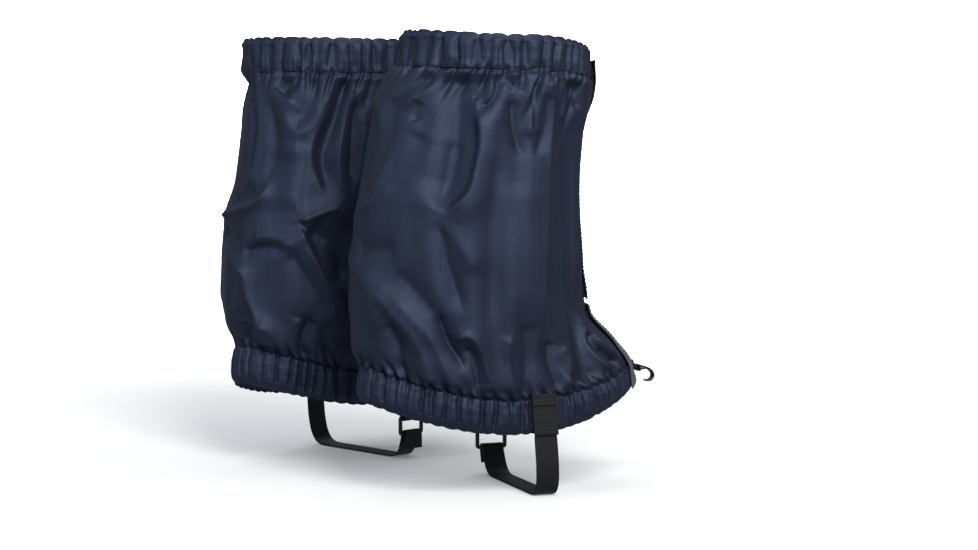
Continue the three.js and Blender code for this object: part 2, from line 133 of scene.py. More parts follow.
FOLDS_LEFT = [
    (3.4, 5.0, 5.0, 1.2, [(-154.0, 5.5), (-168.0, 5.6), (170.5, 5.84), (162.2, 6.12), (158.8, 6.66)]),
    (-2.2, 6.0, 6.0, 1.5, [(-163.5, 5.98), (178.8, 6.1), (168.0, 6.39)]),
    (-2.2, 7.0, 7.0, 1.6, [(-155.0, 5.19), (-170.0, 4.88), (172.5, 4.65)]),
    (2.6, 4.5, 6.0, 1.2, [(-165.0, 4.38), (171.8, 3.86), (167.8, 3.16), (161.5, 2.41), (160.8, 1.56)]),
    (-2.4, 4.0, 8.0, 1.3, [(174.8, 4.46), (163.0, 4.61), (152.2, 4.65), (142.5, 4.55)]),
    (1.8, 7.0, 5.0, 1.4, [(166.5, 4.85), (155.5, 4.94), (145.5, 4.84), (138.0, 4.56)]),
    (-2.0, 6.0, 6.0, 1.6, [(-170.0, 9.3), (179.2, 8.18), (177.5, 7.34), (-179.8, 6.54)]),
    (1.8, 5.0, 5.0, 1.6, [(-178.2, 9.44), (174.0, 8.25), (173.0, 7.34), (175.3, 6.65), (-179.2, 6.1)]),
    (-1.8, 6.0, 6.0, 1.6, [(169.0, 9.0), (159.8, 7.89), (159.0, 7.09), (163.5, 6.4)]),
    (-3.8, 8.0, 8.0, 1.6, [(155.0, 9.68), (156.5, 9.3), (159.0, 9.01)]),
    (1.7, 8.0, 5.0, 1.5, [(146.5, 9.89), (150.5, 8.94), (153.5, 8.45), (151.5, 8.08), (143.8, 7.81), (135.8, 8.03), (131.2, 8.6), (128.2, 9.46), (126.3, 10.08)]),
    (-1.8, 5.0, 5.0, 1.4, [(137.0, 9.79), (138.5, 8.95), (141.5, 8.33), (144.2, 8.01)]),
    (2.2, 6.0, 4.5, 1.3, [(126.8, 8.68), (131.8, 7.85), (134.5, 7.38), (132.5, 6.91), (127.7, 6.44), (123.5, 6.08)]),
    (-4.2, 9.0, 8.0, 1.6, [(119.5, 9.46), (121.5, 8.47), (125.7, 7.7), (128.2, 7.19), (123.8, 6.61), (119.3, 6.18)]),
    (2.4, 4.0, 4.0, 1.3, [(115.0, 9.26), (116.5, 8.21), (118.2, 7.39), (117.0, 6.75), (113.0, 6.21)]),
    (-2.0, 4.0, 4.0, 1.3, [(110.2, 8.97), (110.5, 7.93), (110.8, 7.14), (110.5, 6.48)]),
    (3.2, 4.0, 10, 1.2, [(139.0, 5.49), (130.8, 5.73), (121.0, 5.91), (112.2, 6.08)]),
    (-5.5, 9.0, 12, 1.6, [(133.5, 5.28), (126.5, 5.05), (118.5, 4.83), (112.2, 4.3), (109.0, 3.51)]),
    (3.4, 12, 4.0, 1.2, [(138.8, 5.44), (135.2, 4.93), (130.0, 4.4), (123.8, 3.78), (118.2, 3.24), (117.0, 2.6), (119.5, 1.78)]),
    (-1.8, 6.0, 5.0, 1.4, [(141.5, 4.61), (135.0, 4.09), (129.0, 3.65), (122.2, 3.11), (118.2, 2.71)]),
    (-3.2, 5.0, 5.0, 1.4, [(128.0, 2.68), (133.2, 2.24), (136.8, 1.73), (137.0, 1.3)]),
    (1.8, 5.0, 5.0, 1.4, [(134.5, 2.64), (137.5, 2.02), (139.3, 1.43)]),
    (-2.0, 4.0, 4.0, 1.3, [(120.8, 2.59), (123.2, 2.06), (123.5, 1.49)]),
    (1.8, 6.0, 6.0, 1.5, [(161.8, 2.25), (154.5, 2.01), (151.8, 1.53), (151.2, 0.93)]),
    (-1.6, 6.0, 6.0, 1.6, [(169.8, 2.19), (170.5, 1.54), (171.5, 1.34)]),
    (1.8, 6.0, 6.0, 1.6, [(172.2, 4.16), (175.5, 3.33), (178.8, 2.3)]),
    (-1.6, 10, 10, 1.8, [(151.5, 7.36), (153.5, 6.3), (156.0, 5.16)]),
    (1.6, 10, 10, 1.8, [(143.5, 7.62), (144.5, 6.59), (146.8, 5.65)]),
]
# ------------------------------------------------------------------ camera and light
def row(x, y, z):
    """A point given from the right leg's axis at ground level, in mm, in the row frame in metres."""
    t = math.radians(TOE_OUT)
    ax = 17.5
    return Vector((x - ax * math.cos(t), y + ax * math.sin(t), z - ARCH_Z)) * 0.001


def make_camera():
    a = math.radians(-32.0)
    view = (-math.sin(a), math.cos(a))
    right = (math.cos(a), math.sin(a))
    eye = row(-view[0] * 1500 - right[0] * 5.33, -view[1] * 1500 - right[1] * 5.33, 263.2)
    data = bpy.data.cameras.new("camera")
    data.lens = 2250.0 / 978.0 * 36.0
    data.sensor_width = 36.0
    data.clip_start, data.clip_end = 0.05, 50
    cam = bpy.data.objects.new("camera", data)
    bpy.context.scene.collection.objects.link(cam)
    cam.location = eye
    pitch = math.atan((275.0 - 110.0) / 2250.0)
    cam.rotation_euler = (math.pi / 2 - pitch, 0, a)
    bpy.context.scene.camera = cam
    return cam


camera = make_camera()


def area(name, loc, look, size, power, color=(1, 1, 1), size_y=None):
    data = bpy.data.lights.new(name, "AREA")
    data.shape = "RECTANGLE"
    data.size, data.size_y = size, size_y or size
    data.energy = power
    data.color = color
    o = bpy.data.objects.new(name, data)
    o.location = loc
    d = Vector(look) - Vector(loc)
    o.rotation_euler = d.to_track_quat("-Z", "Y").to_euler()
    bpy.context.scene.collection.objects.link(o)
    return o


# directions across and along the camera's view
A = math.radians(-32.0)
VIEW = Vector((-math.sin(A), math.cos(A), 0))
RIGHT = Vector((math.cos(A), math.sin(A), 0))
MID = Vector((-0.03, 0.09, 0.16))


def studio():
    at = lambda r, v, z: MID + RIGHT * r + VIEW * v + Vector((0, 0, z))
    area("key", at(0.52, -1.57, 0.95), MID, 0.70, 42, (1.0, 0.99, 0.975), 1.3)
    area("fill", at(-1.5, -0.9, 0.7), MID, 0.6, 8, (0.78, 0.87, 1.0), 1.3)
    area("top", at(0.1, 0.3, 2.0), MID, 1.4, 8, (1, 1, 1))
    w = area("wall", at(0.0, 2.7, 1.3), at(0.0, 5.2, 0.35), 1.4, 95, (1, 1, 1), 0.6)
    w.data.spread = math.radians(110)
    w = area("far_floor", at(0.0, 2.2, 2.2), at(0.0, 2.6, 0.0), 2.0, 75, (1, 1, 1), 1.6)
    w.data.spread = math.radians(100)
    world = bpy.data.worlds.new("world")
    world.use_nodes = True
    n = world.node_tree.nodes
    n["Background"].inputs[0].default_value = (0.86, 0.92, 1.0, 1)
    n["Background"].inputs[1].default_value = 0.26
    bpy.context.scene.world = world
    vs = bpy.context.scene.view_settings
    vs.view_transform = "Standard"
    vs.look = "None"
    vs.exposure = 0.0


def make_floor():
    """A pale floor that curves up into a pale wall far behind, so that no edge shows."""
    n, m = 40, 24
    verts, faces = [], []
    for i in range(n + 1):
        s = i / n
        if s < 0.5:
            d, z = -3.5 + 7.0 * s / 0.5, 0.0
        else:
            a = (s - 0.5) / 0.5 * math.pi / 2
            d, z = 3.5 + 1.5 * math.sin(a), 1.5 * (1 - math.cos(a)) + (s - 0.5) * 2.0 * 1.5
        for j in range(m + 1):
            r = -6 + 12 * j / m
            p = MID + VIEW * d + RIGHT * r
            verts.append((p.x, p.y, FLOOR_Z + z))
    for i in range(n):
        for j in range(m):
            a = i * (m + 1) + j
            faces.append((a, a + 1, a + m + 2, a + m + 1))
    me = bpy.data.meshes.new("floor")
    me.from_pydata(verts, [], faces)
    me.update()
    o = bpy.data.objects.new("floor", me)
    bpy.context.scene.collection.objects.link(o)
    for p in me.polygons:
        p.use_smooth = True
    mat = bpy.data.materials.new("floor_white")
    mat.use_nodes = True
    b = mat.node_tree.nodes["Principled BSDF"]
    b.inputs["Base Color"].default_value = (0.96, 0.96, 0.96, 1)
    b.inputs["Emission Color"].default_value = (1, 1, 1, 1)
    b.inputs["Emission Strength"].default_value = 0.12
    b.inputs["Roughness"].default_value = 0.75
    b.inputs["Specular IOR Level"].default_value = 0.15
    me.materials.append(mat)
    # a cut-out floor: it shows white, yet the cloth isn't lit from below by it
    o.visible_diffuse = False
    o.visible_glossy = False


studio()
make_floor()


# ------------------------------------------------------------------ materials
class Nodes:
    def __init__(self, name, **sockets):
        self.mat = bpy.data.materials.new(name)
        self.mat.use_nodes = True
        self.t = self.mat.node_tree
        self.bsdf = self.t.nodes["Principled BSDF"]
        for k, v in sockets.items():
            self.bsdf.inputs[k.replace("_", " ")].default_value = v

    def node(self, kind, **props):
        n = self.t.nodes.new(kind)
        for k, v in props.items():
            setattr(n, k, v)
        return n

    def link(self, a, b):
        self.t.links.new(a, b)
        return b

    def math(self, op, a, b=None, clamp=False):
        n = self.node("ShaderNodeMath", operation=op, use_clamp=clamp)
        for i, v in enumerate([a, b]):
            if v is None:
                continue
            if isinstance(v, (int, float)):
                n.inputs[i].default_value = v
            else:
                self.link(v, n.inputs[i])
        return n.outputs[0]

    def noise(self, vec, scale, detail=3.0, rough=0.5, dist=0.0):
        n = self.node("ShaderNodeTexNoise")
        n.inputs["Scale"].default_value = scale
        n.inputs["Detail"].default_value = detail
        n.inputs["Roughness"].default_value = rough
        n.inputs["Distortion"].default_value = dist
        self.link(vec, n.inputs["Vector"])
        return n.outputs[0]

    def map(self, value, lo, hi, a, b):
        n = self.node("ShaderNodeMapRange")
        n.inputs["From Min"].default_value, n.inputs["From Max"].default_value = lo, hi
        n.inputs["To Min"].default_value, n.inputs["To Max"].default_value = a, b
        self.link(value, n.inputs["Value"])
        return n.outputs[0]

    def ramp(self, value, colors):
        n = self.node("ShaderNodeValToRGB")
        els = n.color_ramp.elements
        while len(els) < len(colors):
            els.new(0.5)
        for e, (p, c) in zip(els, colors):
            e.position, e.color = p, (*c, 1)
        self.link(value, n.inputs[0])
        return n.outputs[0]

    def bump(self, height, strength, distance, normal=None):
        n = self.node("ShaderNodeBump")
        n.inputs["Strength"].default_value = strength
        n.inputs["Distance"].default_value = distance
        self.link(height, n.inputs["Height"])
        if normal is not None:
            self.link(normal, n.inputs["Normal"])
        return n.outputs[0]


def scaled(c, s):
    return tuple(min(1.0, x * s) for x in c)


def woven(name, color, pitch, roughness, weave, sheen=0.0, specular=0.5, tint=None, vary=0.12, crinkle=0.25, rib=None, coat=0.0):
    """Woven cloth: plain weave in its own surface coordinates (mm), soft colour change, fine crinkle."""
    m = Nodes(name, Roughness=roughness, Specular_IOR_Level=specular, Sheen_Weight=sheen, Sheen_Roughness=0.5)
    if tint:
        m.bsdf.inputs["Specular Tint"].default_value = (*tint, 1)
    if coat:
        m.bsdf.inputs["Coat Weight"].default_value = coat
        m.bsdf.inputs["Coat Roughness"].default_value = 0.45
    uv = m.node("ShaderNodeUVMap", uv_map="mm").outputs[0]
    sep = m.node("ShaderNodeSeparateXYZ")
    m.link(uv, sep.inputs[0])
    u, v = sep.outputs[0], sep.outputs[1]
    k = 2 * math.pi / pitch
    su = m.math("SINE", m.math("MULTIPLY", u, k))
    sv = m.math("SINE", m.math("MULTIPLY", v, k))
    if rib:
        h = m.math("ADD", m.math("MULTIPLY", m.math("SINE", m.math("MULTIPLY", v, 2 * math.pi / rib)), 0.8), m.math("MULTIPLY", m.math("MULTIPLY", su, sv), 0.35))
    else:
        h = m.math("MULTIPLY", su, sv)
    obj = m.node("ShaderNodeTexCoord").outputs["Object"]
    big = m.noise(obj, 14.0, 3.0, 0.5)
    mid = m.noise(obj, 90.0, 4.0, 0.6)
    fine = m.noise(obj, 900.0, 2.0, 0.6)
    # threads catch the light a little differently, and the cloth isn't evenly dyed
    tone = m.math("ADD", m.math("MULTIPLY", big, 0.55), m.math("ADD", m.math("MULTIPLY", mid, 0.25), m.math("MULTIPLY", m.math("ADD", m.math("MULTIPLY", h, 0.5), 0.5), 0.2)))
    col = m.ramp(tone, [(0.30, scaled(color, 1 - vary)), (0.52, color), (0.74, scaled(color, 1 + vary))])
    m.link(col, m.bsdf.inputs["Base Color"])
    m.link(m.map(m.math("ADD", mid, m.math("MULTIPLY", fine, 0.4)), 0.4, 1.0, roughness - 0.06, roughness + 0.08), m.bsdf.inputs["Roughness"])
    n1 = m.bump(m.math("ADD", h, m.math("MULTIPLY", fine, 0.8)), weave, 0.00008)
    n2 = m.bump(m.noise(obj, 160.0, 3.0, 0.55, 0.6), crinkle, 0.0006, n1)
    m.link(n2, m.bsdf.inputs["Normal"])
    return m.mat


def plain(name, color, roughness, metallic=0.0, grain=400.0, strength=0.15, vary=0.15, specular=0.5, wear=0.0):
    """Moulded, coated or metal surfaces: fine grain, slight colour change and worn high spots."""
    m = Nodes(name, Roughness=roughness, Metallic=metallic, Specular_IOR_Level=specular)
    obj = m.node("ShaderNodeTexCoord").outputs["Object"]
    big = m.noise(obj, 40.0, 4.0, 0.6)
    fine = m.noise(obj, grain, 3.0, 0.6)
    col = m.ramp(m.math("ADD", m.math("MULTIPLY", big, 0.7), m.math("MULTIPLY", fine, 0.3)), [(0.3, scaled(color, 1 - vary)), (0.5, color), (0.72, scaled(color, 1 + vary))])
    if wear:
        geo = m.node("ShaderNodeNewGeometry")
        edge = m.map(m.math("ADD", geo.outputs["Pointiness"], m.math("MULTIPLY", m.math("SUBTRACT", fine, 0.5), 0.08)), 0.53, 0.60, 0.0, 1.0)
        mix = m.node("ShaderNodeMix", data_type="RGBA")
        m.link(m.math("MULTIPLY", edge, wear, True), mix.inputs["Factor"])
        m.link(col, mix.inputs["A"])
        mix.inputs["B"].default_value = (*scaled(color, 5.0), 1)
        col = mix.outputs["Result"]
    m.link(col, m.bsdf.inputs["Base Color"])
    m.link(m.map(fine, 0.3, 0.7, roughness - 0.05, roughness + 0.08), m.bsdf.inputs["Roughness"])
    m.link(m.bump(m.math("ADD", fine, m.math("MULTIPLY", big, 0.4)), strength, 0.0002), m.bsdf.inputs["Normal"])
    return m.mat


NAVY = (0.0088, 0.0110, 0.0215)
CHARCOAL = (0.068, 0.068, 0.071)
MAT = {
    "navy": woven("navy_cloth", NAVY, 0.62, 0.54, 0.35, sheen=0.0, specular=0.62, tint=(0.50, 0.62, 1.0)),
    "navy_in": woven("navy_inside", scaled(NAVY, 0.85), 0.62, 0.62, 0.3, specular=0.3, crinkle=0.15),
    "charcoal": woven("charcoal_cloth", CHARCOAL, 0.9, 0.62, 0.5, sheen=0.1, specular=0.35),
    "binding": woven("binding", (0.012, 0.012, 0.013), 0.7, 0.7, 0.6, rib=0.9, specular=0.3),
    "webbing": woven("webbing", (0.0080, 0.0080, 0.0090), 1.1, 0.72, 0.8, rib=1.1, specular=0.3),
    "elastic": woven("elastic_rib", (0.016, 0.016, 0.017), 1.0, 0.85, 0.8, rib=1.4, specular=0.2),
    "tape": woven("touch_tape", (0.014, 0.014, 0.015), 0.5, 0.92, 1.0, sheen=0.4, specular=0.15, crinkle=0.9),
    "strap": plain("strap_coated", (0.0088, 0.0088, 0.0104), 0.52, grain=700.0, strength=0.25, specular=0.28),
    "steel": plain("hook_steel", (0.035, 0.036, 0.040), 0.30, metallic=0.9, grain=900.0, strength=0.15, wear=0.6),
    "plastic": plain("buckle_plastic", (0.014, 0.014, 0.015), 0.42, grain=500.0, strength=0.2, wear=0.15),
    "print": plain("pale_print", (0.42, 0.44, 0.46), 0.40, grain=800.0, strength=0.2),
    "thread": plain("thread_navy", (0.034, 0.040, 0.066), 0.55, grain=1500.0, strength=0.4, vary=0.25),
    "thread_dark": plain("thread_dark", (0.020, 0.020, 0.022), 0.55, grain=1500.0, strength=0.4, vary=0.25),
}


# ------------------------------------------------------------------ the legs' surface
class Leg:
    def __init__(self, name, rings, side, folds):
        self.name, self.rings, self.side, self.folds = name, rings, side, folds
        t = math.radians(TOE_OUT) * (-1 if side > 0 else 1)
        self.c, self.s = math.cos(t), math.sin(t)
        t0 = math.radians(TOE_OUT)
        self.off = np.array([-17.5 * math.cos(t0), 17.5 * math.sin(t0), -ARCH_Z])
        if side < 0:
            self.off = self.off + np.array([LEFT_LEG[0], LEFT_LEG[1], 0])

    def world(self, P):
        P = np.asarray(P, float)
        x, y, z = P[..., 0], P[..., 1] * self.side, P[..., 2]
        return (np.stack([x * self.c - y * self.s, x * self.s + y * self.c, z], -1) + self.off) * 0.001

    def turn(self, D):
        D = np.asarray(D, float)
        x, y, z = D[..., 0], D[..., 1] * self.side, D[..., 2]
        return np.stack([x * self.c - y * self.s, x * self.s + y * self.c, z], -1)

    def ring(self, k):
        tab, n = self.rings, len(self.rings) - 1
        k = np.asarray(k, float)
        i = np.clip(np.floor(k).astype(int), 0, n - 1)
        t = (k - i)[..., None]
        p0, p1, p2, p3 = tab[np.maximum(1, i - 1)], tab[i], tab[i + 1], tab[np.minimum(n - 1, i + 2)]
        cm = 0.5 * (2 * p1 + (p2 - p0) * t + (2 * p0 - 5 * p1 + 4 * p2 - p3) * t * t + (3 * p1 - p0 - 3 * p2 + p3) * t ** 3)
        ln = p1 + t * (p2 - p1)
        return np.where(((i == 0) | (i == n - 1))[..., None], ln, cm)

    def on(self, th, k):
        q = self.ring(k)
        xf, xb, b, zf, zs, zb = [q[..., j] for j in range(6)]
        c = np.cos(th)
        return np.stack([(xf + xb) / 2 + (xf - xb) / 2 * c, b * np.sin(th),
                         zs + (zf - zs) * np.maximum(0, c) ** 2 + (zb - zs) * np.maximum(0, -c) ** 2], -1)

    def normal(self, th, k, e=0.03):
        k = np.asarray(k, float)
        lo, hi = np.where(k < 1, 0, np.where(k > 10, 10, 1)), np.where(k < 1, 1, np.where(k > 10, 11, 10))
        k0, k1 = np.maximum(lo, k - e), np.minimum(hi, k + e)
        k0 = np.where(k1 - k0 < 1e-6, k0 - e, k0)
        d = self.on(th, k1) - self.on(th, k0)
        d /= np.linalg.norm(d, axis=-1, keepdims=True)
        q = self.ring(k)
        a, b = (q[..., 0] - q[..., 1]) / 2, q[..., 2]
        h = np.stack([b * np.cos(th), a * np.sin(th), 0 * b], -1)
        h /= np.linalg.norm(h, axis=-1, keepdims=True)
        n = h - d * (h * d).sum(-1, keepdims=True)
        return n / np.linalg.norm(n, axis=-1, keepdims=True)

    def front(self, y, k):
        return np.arcsin(np.clip(y / self.ring(k)[..., 2], -1, 1))


def smooth(x, a, b):
    t = np.clip((x - a) / (b - a), 0, 1)
    return t * t * (3 - 2 * t)


def resample(line, n):
    """A smooth curve through the points."""
    line = np.asarray(line, float)
    d = np.concatenate([[0], np.cumsum(np.linalg.norm(np.diff(line, axis=0), axis=1))])
    t = np.linspace(0, d[-1], n)
    m = np.zeros_like(line)
    m[1:-1] = (line[2:] - line[:-2]) / (d[2:] - d[:-2])[:, None]
    m[0] = (line[1] - line[0]) / (d[1] - d[0])
    m[-1] = (line[-1] - line[-2]) / (d[-1] - d[-2])
    i = np.clip(np.searchsorted(d, t, side="right") - 1, 0, len(d) - 2)
    h = (d[i + 1] - d[i])[:, None]
    s = ((t - d[i]) / (d[i + 1] - d[i]))[:, None]
    return ((2 * s ** 3 - 3 * s ** 2 + 1) * line[i] + (s ** 3 - 2 * s ** 2 + s) * h * m[i]
            + (-2 * s ** 3 + 3 * s ** 2) * line[i + 1] + (s ** 3 - s ** 2) * h * m[i + 1])


# ------------------------------------------------------------------ meshes
def new_mesh(name, verts, faces, mat, body, uv=None, smooth_faces=True):
    me = bpy.data.meshes.new(name)
    me.from_pydata([tuple(v) for v in np.asarray(verts, float)], [], [tuple(int(i) for i in f) for f in faces])
    me.update()
    bm = bmesh.new()
    bm.from_mesh(me)
    bmesh.ops.recalc_face_normals(bm, faces=bm.faces)
    bm.to_mesh(me)
    bm.free()
    if uv is not None:
        layer = me.uv_layers.new(name="mm")
        idx = np.zeros(len(me.loops), np.int32)
        me.loops.foreach_get("vertex_index", idx)
        layer.data.foreach_set("uv", np.asarray(uv, np.float32)[idx].ravel())
    if smooth_faces:
        me.polygons.foreach_set("use_smooth", [True] * len(me.polygons))
    o = bpy.data.objects.new(name, me)
    bpy.context.scene.collection.objects.link(o)
    me.materials.append(MAT[mat])
    if body:
        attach(o, body)
    return o


def grid_normals(P, closed=False):
    du = np.gradient(P, axis=0)
    if closed:
        du[0] = du[-1] = (P[1] - P[-2]) / 2
    dv = np.gradient(P, axis=1)
    n = np.cross(du, dv)
    return n / np.maximum(np.linalg.norm(n, axis=-1, keepdims=True), 1e-9)


def cloth_piece(name, leg, P, thick, mat, body, uv, inner_mat=None, out=None):
    """Two skins a cloth's thickness apart, joined all round their edge. P is nu x nv x 3 in leg mm, its outer face."""
    nu, nv = P.shape[:2]
    n = grid_normals(P)
    if out is None:
        c = P.mean((0, 1))
        sign = 1 if ((P - c) * n).sum() > 0 else -1
    else:
        sign = 1 if (out * n).sum() > 0 else -1
    Q = P - n * sign * thick
    W = np.concatenate([leg.world(P).reshape(-1, 3), leg.world(Q).reshape(-1, 3)])
    I = np.arange(nu * nv).reshape(nu, nv)
    J = I + nu * nv
    q = lambda a, b, c, d: np.stack([a.ravel(), b.ravel(), c.ravel(), d.ravel()], 1)
    faces = [q(I[:-1, :-1], I[1:, :-1], I[1:, 1:], I[:-1, 1:]), q(J[:-1, :-1], J[:-1, 1:], J[1:, 1:], J[1:, :-1]),
             q(I[:-1, 0], J[:-1, 0], J[1:, 0], I[1:, 0]), q(I[:-1, -1], I[1:, -1], J[1:, -1], J[:-1, -1]),
             q(I[0, :-1], I[0, 1:], J[0, 1:], J[0, :-1]), q(I[-1, :-1], J[-1, :-1], J[-1, 1:], I[-1, 1:])]
    F = np.concatenate(faces)
    UV = np.concatenate([uv.reshape(-1, 2)] * 2)
    o = new_mesh(name, W, F, mat, body, UV)
    if inner_mat:
        o.data.materials.append(MAT[inner_mat])
        k = len(faces[0])
        mi = np.zeros(len(F), np.int32)
        mi[k:2 * k] = 1
        o.data.polygons.foreach_set("material_index", mi)
    return o


def section_round(w, t, r=None, n=4):
    """A rounded rectangle w wide and t thick, anticlockwise."""
    r = min(r if r is not None else t * 0.45, t * 0.499, w * 0.499)
    pts = []
    for cx, cy, a0 in ((w / 2 - r, t / 2 - r, 0), (-w / 2 + r, t / 2 - r, 90), (-w / 2 + r, -t / 2 + r, 180), (w / 2 - r, -t / 2 + r, 270)):
        for i in range(n + 1):
            a = math.radians(a0 + 90 * i / n)
            pts.append((cx + r * math.cos(a), cy + r * math.sin(a)))
    return np.array(pts)


def sweep(name, leg, C, Wd, Nd, sec, mat, body, widths=None, cap=True):
    """Carries a section along the line C; Wd is the way across and Nd the way out, at every point."""
    C, Wd, Nd = (np.asarray(a, float) for a in (C, Wd, Nd))
    n, m = len(C), len(sec)
    verts, uv = [], []
    along = np.concatenate([[0], np.cumsum(np.linalg.norm(np.diff(C, axis=0), axis=1))])
    per = np.concatenate([[0], np.cumsum(np.linalg.norm(np.diff(sec, axis=0), axis=1))])
    for i in range(n):
        s = 1.0 if widths is None else widths[i]
        for j in range(m):
            verts.append(C[i] + Wd[i] * sec[j, 0] * s + Nd[i] * sec[j, 1])
            uv.append((sec[j, 0] * s, along[i]))
    faces = []
    for i in range(n - 1):
        for j in range(m):
            k = (j + 1) % m
            faces.append((i * m + j, i * m + k, (i + 1) * m + k, (i + 1) * m + j))
    if cap:
        for i, flip in ((0, True), (n - 1, False)):
            c = len(verts)
            verts.append(C[i])
            uv.append((0, along[i]))
            for j in range(m):
                k = (j + 1) % m
                faces.append((i * m + k, i * m + j, c) if flip else (i * m + j, i * m + k, c))
    return new_mesh(name, leg.world(np.array(verts)), faces, mat, body, uv)


def stitches(name, leg, line, normals, mat, body, pitch=2.8, length=2.0, radius=0.24, lift=0.10, weave=None):
    """A row of thread stitches: each a little arched bead that dips into the cloth at both ends."""
    line, normals = np.asarray(line, float), np.asarray(normals, float)
    d = np.concatenate([[0], np.cumsum(np.linalg.norm(np.diff(line, axis=0), axis=1))])
    verts, faces = [], []
    k = int(d[-1] // pitch)
    if k < 1:
        return None
    off = (d[-1] - k * pitch + (pitch - length)) / 2
    side = 6
    for s in range(k):
        t = off + s * pitch + np.linspace(0, length, 5)
        p = np.stack([np.interp(t, d, line[:, j]) for j in range(3)], 1)
        n = np.stack([np.interp(t, d, normals[:, j]) for j in range(3)], 1)
        n /= np.linalg.norm(n, axis=1, keepdims=True)
        T = p[-1] - p[0]
        T /= np.linalg.norm(T)
        base = len(verts)
        prof = (0.35, 0.9, 1.0, 0.9, 0.35)
        arch = (-0.8, 0.3, 0.7, 0.3, -0.8)
        for i in range(5):
            B = np.cross(T, n[i])
            c = p[i] + n[i] * (lift + arch[i] * radius)
            for a in range(side):
                ang = 2 * math.pi * a / side
                verts.append(c + radius * prof[i] * (n[i] * math.cos(ang) + B * math.sin(ang)))
        for i in range(4):
            for a in range(side):
                b = (a + 1) % side
                faces.append((base + i * side + a, base + i * side + b, base + (i + 1) * side + b, base + (i + 1) * side + a))
        faces.append(tuple(base + a for a in range(side - 1, -1, -1)))
        faces.append(tuple(base + 4 * side + a for a in range(side)))
    uv = np.zeros((len(verts), 2))
    return new_mesh(name, leg.world(np.array(verts)), faces, mat, body, uv)


# ------------------------------------------------------------------ the casings' pleats
SLIT = 3.0


def arc(leg, k, th):
    """Length along ring k from the front, at each angle."""
    t = np.linspace(0, 2 * math.pi, 2401)
    P = leg.on(t, np.full_like(t, float(k)))
    s = np.concatenate([[0], np.cumsum(np.linalg.norm(np.diff(P, axis=0), axis=1))])
    return np.interp(th, t, s), s


def pleats(leg, k, pitch, jitter, rng, depth, width, lens, run, lean):
    """Where the cloth is gathered along a waist: for each valley its place, depth, width, lean and how far it runs on."""
    g = float(leg.front(SLIT, k))
    s0, full = arc(leg, k, np.array([g, 2 * math.pi - g]))
    t = np.linspace(0, 2 * math.pi, 2401)
    out, s = [], s0[0] + pitch * 0.5
    while s < s0[1] - pitch * 0.3:
        th = float(np.interp(s, full, t))
        y = abs(float(leg.on(np.array(th), np.array(float(k)))[1]))
        near = float(smooth(y, 16, 44)) if math.cos(th) > 0 else 1.0
        strong = rng.random() < 0.60
        out.append(dict(
            s=s, near=near,
            depth=depth * (0.35 + 0.65 * near) * (rng.uniform(0.85, 1.15) if strong else rng.uniform(0.4, 0.75)),
            width=width * (rng.uniform(0.9, 1.25) if strong else rng.uniform(0.6, 0.9)) * (0.7 + 0.3 * near),
            lens=lens * rng.uniform(0.5, 1.3), lean=rng.uniform(-1, 1) * lean, peak=rng.uniform(0.30, 0.68),
            run=run * rng.uniform(0.35, 1.0) * (1.6 if rng.random() < 0.3 else 1.0), slant=rng.uniform(-0.22, 0.22),
            amp=rng.uniform(0.55, 1.15), wrun=rng.uniform(1.3, 2.6), lift=rng.uniform(1.1, 2.7), shift=rng.uniform(-1.3, 1.3),
            amp2=rng.uniform(0.0, 0.8), off2=rng.uniform(0.36, 0.62) * pitch, run2=run * rng.uniform(0.2, 0.55), slant2=rng.uniform(-0.3, 0.3)))
        s += pitch * (1 + jitter * rng.uniform(-1, 1)) * (0.72 + 0.28 * near)
    return out


def waist_lift(pl, s):
    """Along the stitching itself the cloth rises between the gathers."""
    cs = np.array([p["s"] for p in pl])
    lift = np.array([p["lift"] * p["near"] for p in pl])
    i = np.clip(np.searchsorted(cs, s) - 1, 0, len(cs) - 2)
    t = np.clip((s - cs[i]) / (cs[i + 1] - cs[i]), 0, 1)
    return lift[i] * np.sin(np.pi * t) ** 1.3


def waist_shift(pl, s):
    """The stitching wanders up and down a little with the gathers."""
    out = np.zeros_like(s)
    for p in pl:
        out += p["shift"] * p["near"] * np.exp(-((s - p["s"]) / 2.6) ** 2)
    return out


def waist_pucker(pl, s, h):
    """How far the gathering moves the cloth at s round the waist and h away from it."""
    D = np.zeros(np.broadcast(s, h).shape)
    for p in pl:
        L = p["run"]
        w = p["wrun"] * (0.62 + 0.9 * np.clip(h / L, 0, 1.4))
        c = p["s"] + p["slant"] * h
        fade = (1 - smooth(h / L, 0.25, 1.25))
        x = (s - c) / w
        D -= 3.0 * (0.50 + 0.50 * smooth(h, 0.0, 4.0)) * p["amp"] * p["near"] * fade * np.exp(-np.abs(x) ** 1.6)
        # the cloth between two gathers stands out a little
        D += 0.55 * p["amp"] * p["near"] * fade * (np.exp(-((x - 1.7) / 0.9) ** 2) + np.exp(-((x + 1.7) / 0.9) ** 2))
        # shorter tucks between
        x2 = (s - p["s"] - p["off2"] - p["slant2"] * h) / (0.9 + 1.4 * np.clip(h / p["run2"], 0, 1.4))
        D -= 1.5 * p["amp2"] * p["near"] * (1 - smooth(h / p["run2"], 0.2, 1.2)) * np.exp(-np.abs(x2) ** 1.6)
    return D


